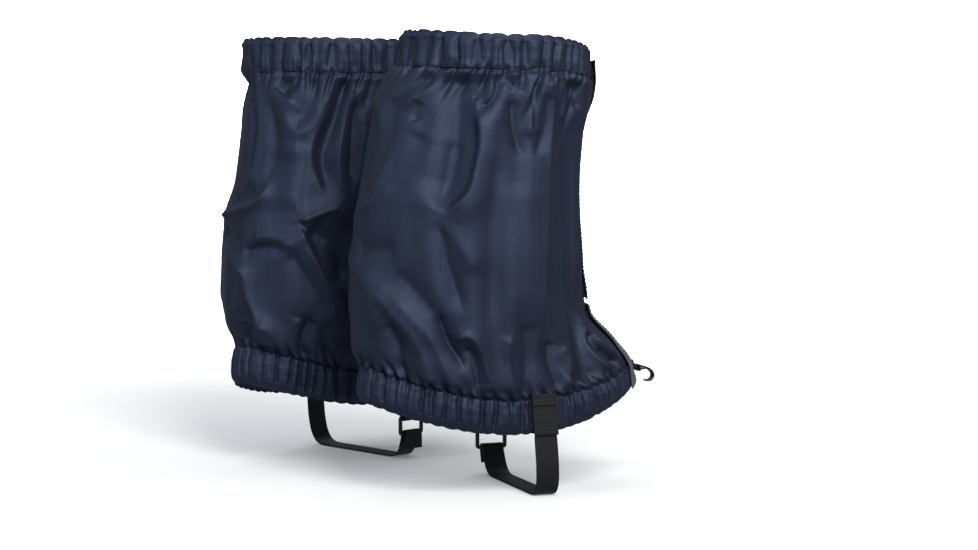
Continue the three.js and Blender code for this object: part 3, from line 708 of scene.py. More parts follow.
def make_casing(leg, name, waist, edge, pl, body, cap_side=None):
    nu, nv = 800, 30
    g = float(leg.front(SLIT, waist))
    th = np.linspace(g, 2 * math.pi - g, nu)
    W, E = leg.on(th, np.full(nu, float(waist))), leg.on(th, np.full(nu, float(edge)))
    d = E - W
    full = np.linalg.norm(d, axis=1)
    d /= full[:, None]
    n = leg.normal(th, np.full(nu, (waist + edge) / 2.0))
    s = arc(leg, waist, th)[0]
    y = np.abs(W[:, 1])
    near = np.where(np.cos(th) > 0, smooth(y, 20, 40), 1.0)
    v = np.linspace(0, 1, nv)[None, :]
    S, V = s[:, None], v
    F = np.zeros((nu, nv))
    for p in pl:
        prof = np.sin(np.pi * np.clip(np.where(V < p["peak"], V * 0.5 / p["peak"], 0.5 + (V - p["peak"]) * 0.5 / (1 - p["peak"])), 0, 1))
        w = p["width"] * (0.50 + p["lens"] * prof)
        dep = p["depth"] * (0.42 + 0.58 * prof ** 0.8)
        c = p["s"] + p["lean"] * (V - 0.5) * 2 * prof
        x = np.abs(S - c) / w
        F -= dep * np.exp(-x ** 1.5)
        F -= 1.5 * p["amp2"] * p["near"] * np.exp(-(np.abs(S - p["s"] - p["off2"] - p["lean"] * 0.5 * V) / 0.85) ** 1.6) * (1 - smooth(V, 0.25, 0.85))
    # rounded ridges between the valleys
    cs = np.array([p["s"] for p in pl])
    i = np.clip(np.searchsorted(cs, s) - 1, 0, len(cs) - 2)
    t = np.clip((s - cs[i]) / (cs[i + 1] - cs[i]), 0, 1)
    crown = (0.5 * np.sin(np.pi * t) * near)[:, None] * np.sin(np.pi * np.clip(V, 0, 1)) ** 0.7
    body_up = smooth(V, -0.04, 0.36)
    bulge = 0.92 + (1.3 + 2.0 * near)[:, None] * body_up * (1 - 0.30 * smooth(V, 0.62, 0.90))
    groove = np.exp(-((V - 0.885) / 0.03) ** 2)
    header = smooth(V, 0.84, 0.98)
    o = bulge + crown
    o = o * (1 - header) + (0.75 + 0.35 * near)[:, None] * header - 0.35 * groove
    o = o + F * (1 - 0.80 * smooth(V, 0.74, 0.96)) * (1 - 0.45 * np.exp(-(V / 0.05) ** 2))
    wob = np.zeros(nu)
    for p in pl:
        wob -= 1.0 * p["near"] * (p["depth"] / 3.5) * np.exp(-((s - p["s"] - 0.4 * p["lean"]) / 2.1) ** 2)
    o = np.maximum(o, (0.92 + 0.1 * smooth(V, 0, 0.1)) * (1 - header) + 0.45 * header)
    pk = waist_pucker(pl, s, 0.0)
    flush = 1 - smooth(V, 0.0, 0.08)
    o = o - 0.38 * flush + np.maximum(pk, -1.2)[:, None] * (1 - smooth(V, 0.0, 0.18)) * 0.9 + waist_lift(pl, s)[:, None] * (1 - smooth(V, 0.02, 0.30))
    shift = (waist_shift(pl, s) * np.where(np.cos(th) > 0, smooth(y, 15, 29), 1.0))[:, None] * (1 - smooth(V, 0.0, 0.45)) * (1 if edge > waist else 1)
    if cap_side is not None:
        # flat under the strap's tabs
        x0, half, top = cap_side
        under = (1 - smooth(np.abs(W[:, 0] - x0), half, half + 5)) * (np.abs(W[:, 1]) > 30)
        o = o * (1 - under[:, None]) + np.minimum(o, top) * under[:, None]
    near_cap = np.where(np.cos(th) > 0, 1 - smooth(y, 20, 27), 0.0)[:, None]
    o = o * (1 - near_cap) + np.minimum(o, 2.55) * near_cap
    o_in, o_lip = -1.55, -0.25
    R = (o[:, -1] - o_lip) / 2
    Hh = full - R + wob * 0.9
    P = [W[:, None] + d[:, None] * (Hh[:, None] * v + shift)[..., None] + n[:, None] * o[..., None]]
    C = W + d * Hh[:, None] + n * ((o[:, -1] + o_lip) / 2)[:, None]
    for a in np.radians(np.linspace(15, 180, 9)):
        P.append((C + d * (R * math.sin(a))[:, None] + n * (R * math.cos(a))[:, None])[:, None])
    # the inner leaf, smoother, against the sock
    m = 10
    vi = np.linspace(1, 0, m + 1)[1:]
    ins = 0.25 * np.sin(2 * np.pi * s / 5.1 + 1.3 * np.sin(s / 23.0))
    P.append(W[:, None] + d[:, None] * (0.5 + (Hh[:, None] - 0.5) * vi[None])[..., None] + n[:, None] * (o_in + (o_lip - o_in) * smooth(vi, 0.82, 1.0)[None] + ins[:, None] * np.sin(np.pi * vi)[None] ** 0.5)[..., None])
    P = np.concatenate(P, 1)
    L = np.concatenate([np.zeros((nu, 1)), np.cumsum(np.linalg.norm(np.diff(P, axis=1), axis=2), axis=1)], 1)
    uv = np.stack([np.repeat(s[:, None] * 1.45, P.shape[1], 1), L], -1)
    # the outer side of the first rows
    nn = grid_normals(P)
    sign = 1 if (nn[:, nv // 2] * n).sum() > 0 else -1
    cloth = cloth_piece(name, leg, P, 0.42, "navy", body, uv, out=nn * sign)
    return cloth, P, nn * sign, s


def make_elastic(leg, name, waist, edge, body):
    nu, nv = 560, 16
    g = float(leg.front(SLIT, waist)) + 0.01
    th = np.linspace(g, 2 * math.pi - g, nu)
    W, E = leg.on(th, np.full(nu, float(waist))), leg.on(th, np.full(nu, float(edge)))
    d = E - W
    full = np.linalg.norm(d, axis=1)
    d /= full[:, None]
    n = leg.normal(th, np.full(nu, (waist + edge) / 2.0))
    v = np.linspace(0, 1, nv)
    s = arc(leg, waist, th)[0]
    rib = 0.08 * np.sin(2 * np.pi * s / 1.6)[:, None] * np.ones(nv)[None]
    P = W[:, None] + d[:, None] * (4 + v[None] * (full[:, None] - 6.6))[..., None] + n[:, None] * (0.30 + rib)[..., None]
    uv = np.stack([np.repeat(s[:, None], nv, 1), np.repeat((v * 20)[None], nu, 0)], -1)
    return cloth_piece(name, leg, P, 0.6, "elastic", body, uv, out=np.repeat(n[:, None], nv, 1))


# ------------------------------------------------------------------ the shells
def fold_field(leg, P0, N, TH, K, folds, sign_image, mirror=False, rng=None):
    """Sum of the folds' heights over the surface. sign_image says which way round the leg the second width lies."""
    D = np.zeros(P0.shape[:-1])
    et = np.stack([-np.sin(TH), np.cos(TH), 0 * TH], -1)
    for amp, wa, wb, power, line in folds:
        pts = np.array(line, float)
        th = np.unwrap(np.radians(pts[:, 0]))
        k = pts[:, 1].copy()
        a = amp
        if mirror:
            th = -th * rng.uniform(0.94, 1.02) + rng.uniform(-0.05, 0.05)
            k = np.clip(k + rng.uniform(-0.35, 0.35), 1.1, 9.9)
            a = amp * rng.uniform(0.55, 1.0)
        L = resample(leg.on(th, k), 22)
        reach = max(30.0, 3.6 * max(wa, wb))
        lo, hi = L.min(0) - reach, L.max(0) + reach
        box = np.all((P0 > lo) & (P0 < hi), axis=-1)
        if not box.any():
            continue
        Pb, Nb, eb = P0[box], N[box], et[box]
        r, side, along = seg_distance2(Pb, L, eb)
        w = wa + (wb - wa) * smooth(side * sign_image * (-1 if mirror else 1), -1.0, 1.0)
        f = np.exp(-(r / w) ** power)
        taper = np.ones_like(r)
        if k[0] < 9.2 and k[0] > 1.7:
            taper *= 0.25 + 0.75 * smooth(along, 0.0, 0.14)
        if k[-1] < 9.2 and k[-1] > 1.7:
            taper *= 0.05 + 0.95 * smooth(1 - along, 0.0, 0.25)
        D[box] += a * f * taper
    return D


# folds that lean over the hollow beside them: the fold's place in its list, how far it leans, across the line and round the leg
OVERHANGS = {"right": [(0, 3.2, 5.0, 1), (15, 3.0, 4.0, -1)], "left": [(16, 3.0, 4.5, -1), (18, 2.6, 4.5, -1)]}


def overhang(leg, P0, N, TH, folds, which):
    out = np.zeros_like(P0)
    et = np.stack([-np.sin(TH), np.cos(TH), 0 * TH], -1)
    for i, shift, w, sgn in which:
        pts = np.array(folds[i][4], float)
        L = resample(leg.on(np.unwrap(np.radians(pts[:, 0])), pts[:, 1]), 22)
        r, side, along = seg_distance2(P0, L, et)
        q = np.gradient(L, axis=0)
        j = np.clip((along * (len(L) - 1)).round().astype(int), 0, len(L) - 1)
        across = np.cross(N, q[j])
        across /= np.maximum(np.linalg.norm(across, axis=-1, keepdims=True), 1e-9)
        across *= np.sign((across * et).sum(-1, keepdims=True)) * sgn
        f = np.exp(-(r / w) ** 2) * smooth(along, 0.0, 0.15) * smooth(1 - along, 0.0, 0.2)
        out += across * (shift * f)[..., None]
    return out


def seg_distance2(P, line, E):
    """Distance to the line, how far across (along E) the point lies from it, and the place along it."""
    best = np.full(P.shape[:-1], 1e9)
    side = np.zeros(P.shape[:-1])
    along = np.zeros(P.shape[:-1])
    lens = np.linalg.norm(np.diff(line, axis=0), axis=1)
    cum = np.concatenate([[0], np.cumsum(lens)])
    for i in range(len(line) - 1):
        a, d = line[i], line[i + 1] - line[i]
        t = np.clip(((P - a) @ d) / (d * d).sum(), 0, 1)
        q = P - (a + t[..., None] * d)
        r = np.sqrt((q * q).sum(-1))
        m = r < best
        best = np.where(m, r, best)
        side = np.where(m, (q * E).sum(-1), side)
        along = np.where(m, (cum[i] + t * lens[i]) / cum[-1], along)
    return best, side, along


def soft_noise(P, seed, scale):
    r = np.random.default_rng(seed)
    out = np.zeros(P.shape[:-1])
    for _ in range(10):
        k = r.normal(size=3)
        k /= np.linalg.norm(k)
        out += np.sin(P @ k * (2 * np.pi / (scale * r.uniform(0.6, 1.6))) + r.uniform(0, 6.28)) * r.uniform(0.4, 1)
    return out / 3.0


def inset_run(K):
    """Where the closure lies a little in from the cloth beside it: 0 at the waists and the ankle, 1 between."""
    return smooth(K, 3.3, 4.3) * (1 - smooth(K, 8.3, 9.3)) + 0.6 * smooth(K, 1.35, 1.8) * (1 - smooth(K, 2.8, 3.2))


def front_inset(K, y, front=True):
    return -2.3 * inset_run(K) * (1 - smooth(np.abs(y), 18.5, 25.0)) * front


def shell_surface(leg, top, bottom, nu=440, nv=190):
    K1 = np.linspace(0.955, 10.045, nv)
    g = leg.front(SLIT, K1)
    u = np.linspace(0, 1, nu)
    TH = g[None] + u[:, None] * (2 * math.pi - 2 * g[None])
    K = np.repeat(K1[None], nu, 0)
    P0 = leg.on(TH, K)
    N = leg.normal(TH, np.clip(K, 1, 10))
    step = np.linalg.norm(np.diff(P0, axis=1), axis=2)
    up = np.concatenate([np.zeros((nu, 1)), np.cumsum(step, 1)], 1)
    frac = (1 - K1[0]) / (K1[1] - K1[0])
    h_bot = np.maximum(up - (up[:, 1:2] * frac), 0)
    h_top = np.maximum((up[:, -1:] - up) - (up[:, -1:] - up[:, -2:-1]) * ((K1[-1] - 10) / (K1[-1] - K1[-2])), 0)
    y = np.abs(P0[..., 1])
    front = np.cos(TH) > 0
    m_front = np.where(front, smooth(y, 15, 29), 1.0)
    THs = np.where(TH > math.pi, TH - 2 * math.pi, TH)       # -180 to 180
    rng = np.random.default_rng(11 if leg.side > 0 else 23)
    if leg.side > 0:
        D1 = fold_field(leg, P0, N, TH, K, FOLDS_RIGHT, 1)
        D2 = fold_field(leg, P0, N, TH, K, FOLDS_RIGHT, 1, True, rng)
        # the medial side isn't seen: its folds are like the lateral side's, turned over and changed a little
        med = smooth(np.degrees(THs), 2, 14) * (1 - smooth(np.degrees(THs), 150, 172))
        lat = np.where(THs <= 0, 1.0, 1 - med)
        D = D1 * lat + D2 * med
    else:
        D1 = fold_field(leg, P0, N, TH, K, FOLDS_LEFT, -1)
        D3 = fold_field(leg, P0, N, TH, K, FOLDS_RIGHT, 1, True, rng)
        D4 = fold_field(leg, P0, N, TH, K, [(a * 0.9, x, w, p, l) for a, x, w, p, l in FOLDS_RIGHT], 1)
        deg = np.degrees(np.where(TH > math.pi * 2 - 0.001, 0, TH))
        seen = smooth(deg, 98, 112) * (1 - smooth(deg, 212, 226))
        D = D1 * seen + D3 * (1 - smooth(deg, 98, 112)) + D4 * smooth(deg, 212, 226)
    w = (0.12 + 0.88 * smooth(h_top, 1, 11)) * (0.12 + 0.88 * smooth(h_bot, 1, 11))
    D = D * w * 1.6
    D = D + 0.45 * soft_noise(P0, 5 + int(leg.side), 60.0) * w
    s_top, s_bot = arc(leg, 10, TH)[0], arc(leg, 1, TH)[0]
    pk = waist_pucker(top, s_top, h_top) + waist_pucker(bottom, s_bot, h_bot)
    # at the stitching the shell goes no deeper than the casing, so that no gap opens between them
    pk = np.maximum(pk, -(1.2 + 1.1 * np.minimum(h_top, h_bot)))
    D = D + waist_lift(top, s_top) * (1 - smooth(h_top, 1.5, 9)) + waist_lift(bottom, s_bot) * (1 - smooth(h_bot, 1.5, 8))
    D = D * m_front + pk * (0.25 + 0.75 * m_front)
    # the cloth keeps fuller just away from each waist
    D = D + (2.7 * smooth(h_top, 0.2, 5.0) * (1 - smooth(h_top, 8, 46)) + 2.4 * smooth(h_bot, 0.2, 4.5) * (1 - smooth(h_bot, 7, 34))) * m_front
    D = D - 1.4 * smooth(h_top, 5, 40) * smooth(h_bot, 5, 30) * m_front
    # the cloth hangs in shallow upright waves
    sm = arc(leg, 5, TH)[0]
    wv = np.zeros_like(D)
    for _ in range(9):
        lam, tilt, ph = rng.uniform(13, 34), rng.uniform(-0.16, 0.16), rng.uniform(0, 6.28)
        wv += np.sin(2 * np.pi * (sm + tilt * P0[..., 2] + 3.0 * np.sin(P0[..., 2] / rng.uniform(28, 60) + ph)) / lam + ph) * (lam / 34.0)
    D = D + 0.15 * wv * m_front
    if leg.side < 0:
        deg = np.degrees(TH)
        D = D - 5.0 * np.exp(-((deg - 212) / 34.0) ** 2) * smooth(K, 5.4, 6.6) * m_front * smooth(h_top, 0.5, 7)
        D = D - np.exp(-((deg - 212) / 44.0) ** 2) * m_front * (3.2 * smooth(h_top, 0, 4) * (1 - smooth(h_top, 10, 34)) + 3.0 * smooth(h_bot, 0, 4) * (1 - smooth(h_bot, 8, 26)))
    D = D + front_inset(K, y, front) + 1.5 * inset_run(K) * np.exp(-((y - 28) / 6.0) ** 2) * front
    D = np.where(D < -5.5, -5.5 + (D + 5.5) * 0.8, D)
    D = np.clip(D, -11.5, 8.5)
    TS = overhang(leg, P0, N, TH, FOLDS_RIGHT if leg.side > 0 else FOLDS_LEFT, OVERHANGS[leg.name]) * (smooth(h_top, 3, 16) * smooth(h_bot, 3, 16) * m_front)[..., None]
    return P0, N, D, TH, K, h_top, h_bot, m_front, TS


def make_shell(leg, top, bottom, body):
    P0, N, D, TH, K, h_top, h_bot, m_front, TS = shell_surface(leg, top, bottom)
    o = 0.5 + D
    # tucked under the casings' edges, level with them
    P = P0 + N * o[..., None] + TS
    up = np.gradient(P0, axis=1)
    up /= np.linalg.norm(up, axis=-1, keepdims=True)
    sh = waist_shift(top, arc(leg, 10, TH)[0]) * (1 - smooth(h_top, 2, 14)) - waist_shift(bottom, arc(leg, 1, TH)[0]) * (1 - smooth(h_bot, 2, 12))
    P = P + up * (sh * m_front)[..., None]
    P = relax(leg, P, N, h_top, h_bot, m_front)
    s = arc(leg, 5, TH)[0]
    L = np.concatenate([np.zeros((P.shape[0], 1)), np.cumsum(np.linalg.norm(np.diff(P, axis=1), axis=2), axis=1)], 1)
    uv = np.stack([s, L], -1)
    cloth = cloth_piece(f"{leg.name}_shell_cloth", leg, P, 0.5, "navy", body, uv, inner_mat="navy_in", out=N)
    return cloth, P


def relax(leg, P, N, h_top, h_bot, m_front):
    return P


# ------------------------------------------------------------------ flaps and tapes on the front
def front_pt(leg, Y, K, O):
    th = leg.front(Y, K)
    O = np.asarray(O) + front_inset(K, Y)
    return leg.on(th, K) + leg.normal(th, K) * np.asarray(O)[..., None]


def make_tape(leg, name, k0, k1, o, mat, body, seed, nk):
    ny = 16
    Y = np.linspace(-4, -15, ny)[:, None] * np.ones(nk)[None]
    K = np.linspace(k0, k1, nk)[None] * np.ones(ny)[:, None]
    r = np.random.default_rng(seed)
    O = o + 0.70 + 0.09 * r.normal(size=(ny, nk))
    O[0] = O[-1] = o + 0.35
    O[:, 0] = O[:, -1] = o + 0.35
    P = front_pt(leg, Y, K, O)
    n = leg.normal(leg.front(Y, K), K)
    L = np.linspace(0, 1, nk)[None] * np.ones(ny)[:, None] * np.linalg.norm(P[0, -1] - P[0, 0])
    return cloth_piece(name, leg, P, 0.55, mat, body, np.stack([Y, L], -1), out=n)


def edge_binding(leg, name, C, inward, out, mat, body, reach=3.4, half=0.42, thick=0.15):
    """A folded tape over an edge: a U-shaped section carried along it."""
    sec = np.array([(reach, half + thick), (0.5, half + thick), (-0.25, half * 0.75 + thick), (-0.55, 0), (-0.25, -half * 0.75 - thick),
                    (0.5, -half - thick), (reach, -half - thick), (reach, -half), (0.4, -half), (0.15, 0), (0.4, half), (reach, half)])
    return sweep(name, leg, C, inward, out, sec, mat, body)


def make_front_flap(leg, top):
    ny, nk = 46, 210
    u = np.linspace(0, 1, ny)[:, None]
    v = np.linspace(0, 1, nk)[None]
    K = 3.36 + (top - 3.36) * v * np.ones_like(u)
    Y = 22.5 - u * 40.5 + 0 * v
    # sewn down on the medial side, free on the lateral one
    base = 1.55 + (1.3 + 1.05 * smooth(K, 8.9, 9.8)) * smooth(u, 0.02, 0.14)
    wave = 0.22 * np.sin(7.1 * v + 1.0) * np.sin(3.0 * u) + 0.16 * np.sin(19 * v + 4 * u)
    lift = smooth(u, 0.72, 1.0) * (1.2 * smooth(v, 0.66, 0.84) + 0.10 + 0.15 * np.sin(9 * v + 0.6))
    O = base + wave * smooth(u, 0.05, 0.2) + np.maximum(lift, 0)
    Kc = np.clip(K, 1, 10.999)
    P = front_pt(leg, Y, Kc, O)
    N = leg.normal(leg.front(Y, Kc), Kc)
    L = np.concatenate([np.zeros((ny, 1)), np.cumsum(np.linalg.norm(np.diff(P, axis=1), axis=2), axis=1)], 1)
    cloth = cloth_piece(f"{leg.name}_front_flap_cloth", leg, P, 0.8, "navy", None, np.stack([Y, L], -1), inner_mat="charcoal", out=N)
    mid = P - N * 0.4
    tang = P[1:] - P[:-1]
    parts = [cloth]
    # binding over the free long edge, then across the top and bottom
    C = mid[-1]
    inw = mid[-4] - mid[-1]
    inw /= np.linalg.norm(inw, axis=1, keepdims=True)
    parts.append(edge_binding(leg, f"{leg.name}_front_flap_binding", C, inw, N[-1], "binding", None))
    for tag, j, q in (("top", -1, -5), ("foot", 0, 4)):
        C = mid[6:, j]
        inw = mid[6:, q] - mid[6:, j]
        inw /= np.linalg.norm(inw, axis=1, keepdims=True)
        parts.append(edge_binding(leg, f"{leg.name}_front_flap_binding_{tag}", C, inw, N[6:, j], "binding", None, reach=3.6))
    out = N
    i = int(ny * 0.90)
    parts.append(stitches(f"{leg.name}_front_flap_stitch_free", leg, P[-1, 3:-3] + (P[-4, 3:-3] - P[-1, 3:-3]) * 1.25 + N[-1, 3:-3] * 0.28, N[-1, 3:-3], "thread_dark", None))
    i = 5
    parts.append(stitches(f"{leg.name}_front_flap_stitch_seam", leg, P[2, 2:-2], N[2, 2:-2], "thread_dark", None))
    parts.append(stitches(f"{leg.name}_front_flap_stitch_seam2", leg, P[i + 1, 2:-2], N[i + 1, 2:-2], "thread_dark", None))
    start = leg.world(np.array([50.0, 21.5, 215.0]))
    end = leg.world(np.array([50.0, 14.5, 215.0]))
    for o in parts:
        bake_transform(o)
    return cloth, parts[1:], P, N


def make_instep_flap(leg):
    ny, nk = 46, 100
    u = np.linspace(0, 1, ny)[:, None]
    v = np.linspace(0, 1, nk)[None]
    K = 3.14 - 3.08 * v * np.ones_like(u)
    half = 18 + 3 * v
    Y = (half + 3.5) - u * (2 * half + 3.5)
    base = 1.55 + 1.5 * smooth(u, 0.02, 0.14) + 0 * v
    O = base + 0.18 * np.sin(5 * v + 1) * np.sin(3 * u) + 0.3 * smooth(u, 0.8, 1.0)
    P = front_pt(leg, Y, K, O)
    N = leg.normal(leg.front(Y, K), K)
    # smooth the surface's way over the waist's corner
    for _ in range(10):
        P[:, 1:-1] = 0.25 * P[:, :-2] + 0.5 * P[:, 1:-1] + 0.25 * P[:, 2:]
    N = grid_normals(P) * (1 if (grid_normals(P) * N).sum() > 0 else -1)
    L = np.concatenate([np.zeros((ny, 1)), np.cumsum(np.linalg.norm(np.diff(P, axis=1), axis=2), axis=1)], 1)
    cloth = cloth_piece(f"{leg.name}_instep_flap_cloth", leg, P, 0.8, "charcoal", None, np.stack([Y, L], -1), out=N)
    mid = P - N * 0.4
    parts = [cloth]
    inw = mid[-4] - mid[-1]
    inw /= np.linalg.norm(inw, axis=1, keepdims=True)
    parts.append(edge_binding(leg, f"{leg.name}_instep_flap_binding", mid[-1], inw, N[-1], "charcoal", None, reach=3.0))
    for tag, j, q in (("toe", -1, -5), ("top", 0, 4)):
        inw = mid[6:, q] - mid[6:, j]
        inw /= np.linalg.norm(inw, axis=1, keepdims=True)
        parts.append(edge_binding(leg, f"{leg.name}_instep_flap_binding_{tag}", mid[6:, j], inw, N[6:, j], "charcoal", None, reach=2.8))
    parts.append(stitches(f"{leg.name}_instep_flap_stitch_free", leg, P[-4, 3:-3] + N[-4, 3:-3] * 0.28, N[-4, 3:-3], "thread_dark", None))
    parts.append(stitches(f"{leg.name}_instep_flap_stitch_seam", leg, P[2, 2:-2], N[2, 2:-2], "thread_dark", None))
    parts.append(stitches(f"{leg.name}_instep_flap_stitch_seam2", leg, P[6, 2:-2], N[6, 2:-2], "thread_dark", None))
    start = leg.world(np.array([80.0, 23.5, 107.0]))
    end = leg.world(np.array([80.0, 16.5, 107.0]))
    for o in parts:
        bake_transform(o)
    return cloth, parts[1:], P, N


def make_print(leg, body):
    """A plain pale bar, raised a little, on the instep flap."""
    ny, nk = 26, 12
    u, v = np.linspace(0, 1, ny)[:, None], np.linspace(0, 1, nk)[None]
    Y, K = -9 - 6 * u + 0 * v, 1.75 - 0.2 * v + 0 * u
    P = front_pt(leg, Y, K, 3.42 + 0 * Y - 0.14 * ((np.abs(2 * u - 1) > 0.97) | (np.abs(2 * v - 1) > 0.97)))
    o = cloth_piece(f"{leg.name}_instep_print_bar", leg, P, 0.30, "print", body, np.stack([Y, K * 15], -1), out=leg.normal(leg.front(Y, K), K))
    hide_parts(f"{leg.name}_instep_print")


# ------------------------------------------------------------------ strap, tabs, buckle, hook
def strap_x(z):
    return 17.5 - 3 * (z - 11) / 41


def ribbon(leg, name, path, thick, mat, body, side=1, half=8.0, edge=None, wavy=0.0, out=None):
    """A strip across the foot whose middle line is given in its plane, as (y, z, half width)."""
    path = [(p[0], p[1], p[2] if len(p) > 2 else half) for p in path]
    A3 = np.array([[p[0], p[1], p[2]] for p in path], float)
    d = np.concatenate([[0], np.cumsum(np.linalg.norm(np.diff(A3[:, :2], axis=0), axis=1))])
    n = max(8, int(d[-1] / 1.1))
    t = np.linspace(0, d[-1], n)
    yz = resample(A3[:, :2], n)
    hw = np.interp(t, d, A3[:, 2])
    T = np.gradient(yz, axis=0)
    T /= np.linalg.norm(T, axis=1, keepdims=True)
    nn = np.stack([-T[:, 1], T[:, 0]], 1)
    C = np.stack([strap_x(yz[:, 1]), side * yz[:, 0], yz[:, 1]], 1)
    Wd = np.repeat(np.array([[1.0, 0, 0]]), n, 0)
    Nd = np.stack([0 * nn[:, 0], side * nn[:, 0], nn[:, 1]], 1)
    m = 14
    sec = []
    r = min(thick * 0.46, edge or 9)
    for i in range(m + 1):
        sec.append((1 - 2 * i / m, 0.5))
    top = [((1 - 2 * i / m), 1) for i in range(m + 1)]
    verts, uv = [], []
    ring = []
    # section: across the top, round the edge, back along the underside
    for x, s_ in [(1 - 2 * i / m, 1) for i in range(m + 1)]:
        ring.append((x, s_))
    per = []
    for i in range(n):
        h = hw[i]
        pts = []
        flat = h - r
        for k in range(m + 1):
            pts.append((flat * (1 - 2 * k / m), thick / 2))
        for k in range(1, 5):
            a = math.pi / 2 + math.pi * k / 5
            pts.append((-flat + r * math.cos(a), thick / 2 * math.sin(a)))
        for k in range(m + 1):
            pts.append((-flat + 2 * flat * k / m, -thick / 2))
        for k in range(1, 5):
            a = -math.pi / 2 + math.pi * k / 5
            pts.append((flat + r * math.cos(a), thick / 2 * math.sin(a)))
        for a, b in pts:
            b2 = b + wavy * math.sin(0.9 * t[i] + a * 0.3) * (1 if b > 0 else 1)
            verts.append(C[i] + Wd[i] * a + Nd[i] * b2)
            uv.append((a if b > 0 else -a, t[i]))
        per = len(pts)
    faces = []
    for i in range(n - 1):
        for j in range(per):
            k = (j + 1) % per
            faces.append((i * per + j, i * per + k, (i + 1) * per + k, (i + 1) * per + j))
    faces.append(tuple(range(per - 1, -1, -1)))
    faces.append(tuple((n - 1) * per + j for j in range(per)))
    o = new_mesh(name, leg.world(np.array(verts)), faces, mat, body, np.array(uv))
    return o, C, Nd, t


def round_end(y):
    return [(y, SWING_Z + 8 * math.sin(math.radians(a)), 8 * math.cos(math.radians(a))) for a in (84, 75, 62, 50, 37, 25, 12)]


def circle_path(c, r, angles):
    return [(c[0] + r * math.cos(math.radians(a)), c[1] + r * math.sin(math.radians(a))) for a in angles]


def tube(leg, name, pts, r, mat, body, closed=True, side=10, flat=1.0):
    """A round bar bent along the points, in leg mm."""
    pts = np.asarray(pts, float)
    n = len(pts)
    verts, faces = [], []
    prev = None
    for i in range(n):
        a, b = pts[(i - 1) % n] if closed or i else pts[i], pts[(i + 1) % n] if closed or i < n - 1 else pts[i]
        T = (b - a) / max(np.linalg.norm(b - a), 1e-9)
        up = prev if prev is not None else (np.array([0, 0, 1.0]) if abs(T[2]) < 0.9 else np.array([1.0, 0, 0]))
        B = up - T * (up @ T)
        B /= np.linalg.norm(B)
        prev = B
        A2 = np.cross(T, B)
        for j in range(side):
            t = 2 * math.pi * j / side
            verts.append(pts[i] + r * (B * math.cos(t) * flat + A2 * math.sin(t)))
    last = n if closed else n - 1
    for i in range(last):
        k2 = (i + 1) % n
        for j in range(side):
            k = (j + 1) % side
            faces.append((i * side + j, i * side + k, k2 * side + k, k2 * side + j))
    if not closed:
        faces.append(tuple(range(side - 1, -1, -1)))
        faces.append(tuple((n - 1) * side + j for j in range(side)))
    return new_mesh(name, leg.world(np.array(verts)), faces, mat, body, np.zeros((len(verts), 2)))


def rounded_loop(cx, cz, w, h, r, n=5):
    """Points round a rounded rectangle lying across the foot (w along y) and up (h along z)."""
    out = []
    for sy, sz, a0 in ((1, 1, 0), (-1, 1, 90), (-1, -1, 180), (1, -1, 270)):
        for i in range(n + 1):
            a = math.radians(a0 + 90 * i / n)
            out.append((cx + sy * (w / 2 - r) + r * math.cos(a), cz + sz * (h / 2 - r) + r * math.sin(a)))
    return out


def make_strap(leg, body, gaiter):
    corner = [(52.4, 32), (50.9, 22.5), (48.6, 17), (45, 13.2), (40.5, 11.4)]
    flat = ARCH_Z - 0.6
    lat = round_end(-STRAP_Y) + [(-STRAP_Y, 46), (-STRAP_Y, 38)] + [(-y, z) for y, z in corner]
    run = [(-36, flat), (-18, flat), (0, flat), (18, flat), (36, flat)]
    med = [(y, z) for y, z in corner[1:][::-1]] + [(52.45, 27.2)]
    wrap = circle_path(LOWER_BAR, 2.2, (170, 135, 100, 65, 30, 0))
    tail = [(56.9, 25), (56.6, 21), (56.4, 18)]
    strap, C, Nd, t = ribbon(leg, f"{leg.name}_instep_strap_band", lat + run + med + wrap + tail, 1.2, "strap", body)
    loop, *_ = ribbon(leg, f"{leg.name}_buckle_loop_web", round_end(STRAP_Y) + [(STRAP_Y, 47)] + circle_path(UPPER_BAR, 2.2, (180, 215, 250, 285, 320, 360)) + [(56.9, 44), (56.7, 47)], 1.0, "webbing", body)
    zm = (UPPER_BAR[1] + LOWER_BAR[1]) / 2
    x0 = strap_x(zm)
    # buckle: a flat moulded frame round the two bars
    yb = UPPER_BAR[0]
    parts = []
    h = UPPER_BAR[1] - LOWER_BAR[1]
    verts, faces, sec = [], [], section_round(2.6, 2.3, 0.7, 3)
    ringpts = rounded_loop(x0, zm, 20.2 + 1e-3, h, 1.4, 4)
    P = np.array([(x, yb, z) for x, z in ringpts])
    n, m = len(P), len(sec)
    c = P.mean(0)
    for i in range(n):
        T = P[(i + 1) % n] - P[(i - 1) % n]
        T /= np.linalg.norm(T)
        O = np.cross(T, (0, 1, 0))
        if O @ (P[i] - c) < 0:
            O = -O
        # stout at the sides, round and slim where the webbing turns
        k = abs(P[i, 0] - x0) > 8.8
        for a, b in sec:
            f = 1.0 if k else 0.92
            verts.append(P[i] + O * a * f + np.array((0, 1.0, 0)) * b * (1.0 if k else 0.98))
    for i in range(n):
        j = (i + 1) % n
        for a in range(m):
            b = (a + 1) % m
            faces.append((i * m + a, i * m + b, j * m + b, j * m + a))
    buckle = new_mesh(f"{leg.name}_strap_buckle_frame", leg.world(np.array(verts)), faces, "plastic", body, np.zeros((len(verts), 2)))
    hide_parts(f"{leg.name}_instep_strap")
    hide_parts(f"{leg.name}_buckle_loop")
    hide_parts(f"{leg.name}_strap_buckle")
    return strap


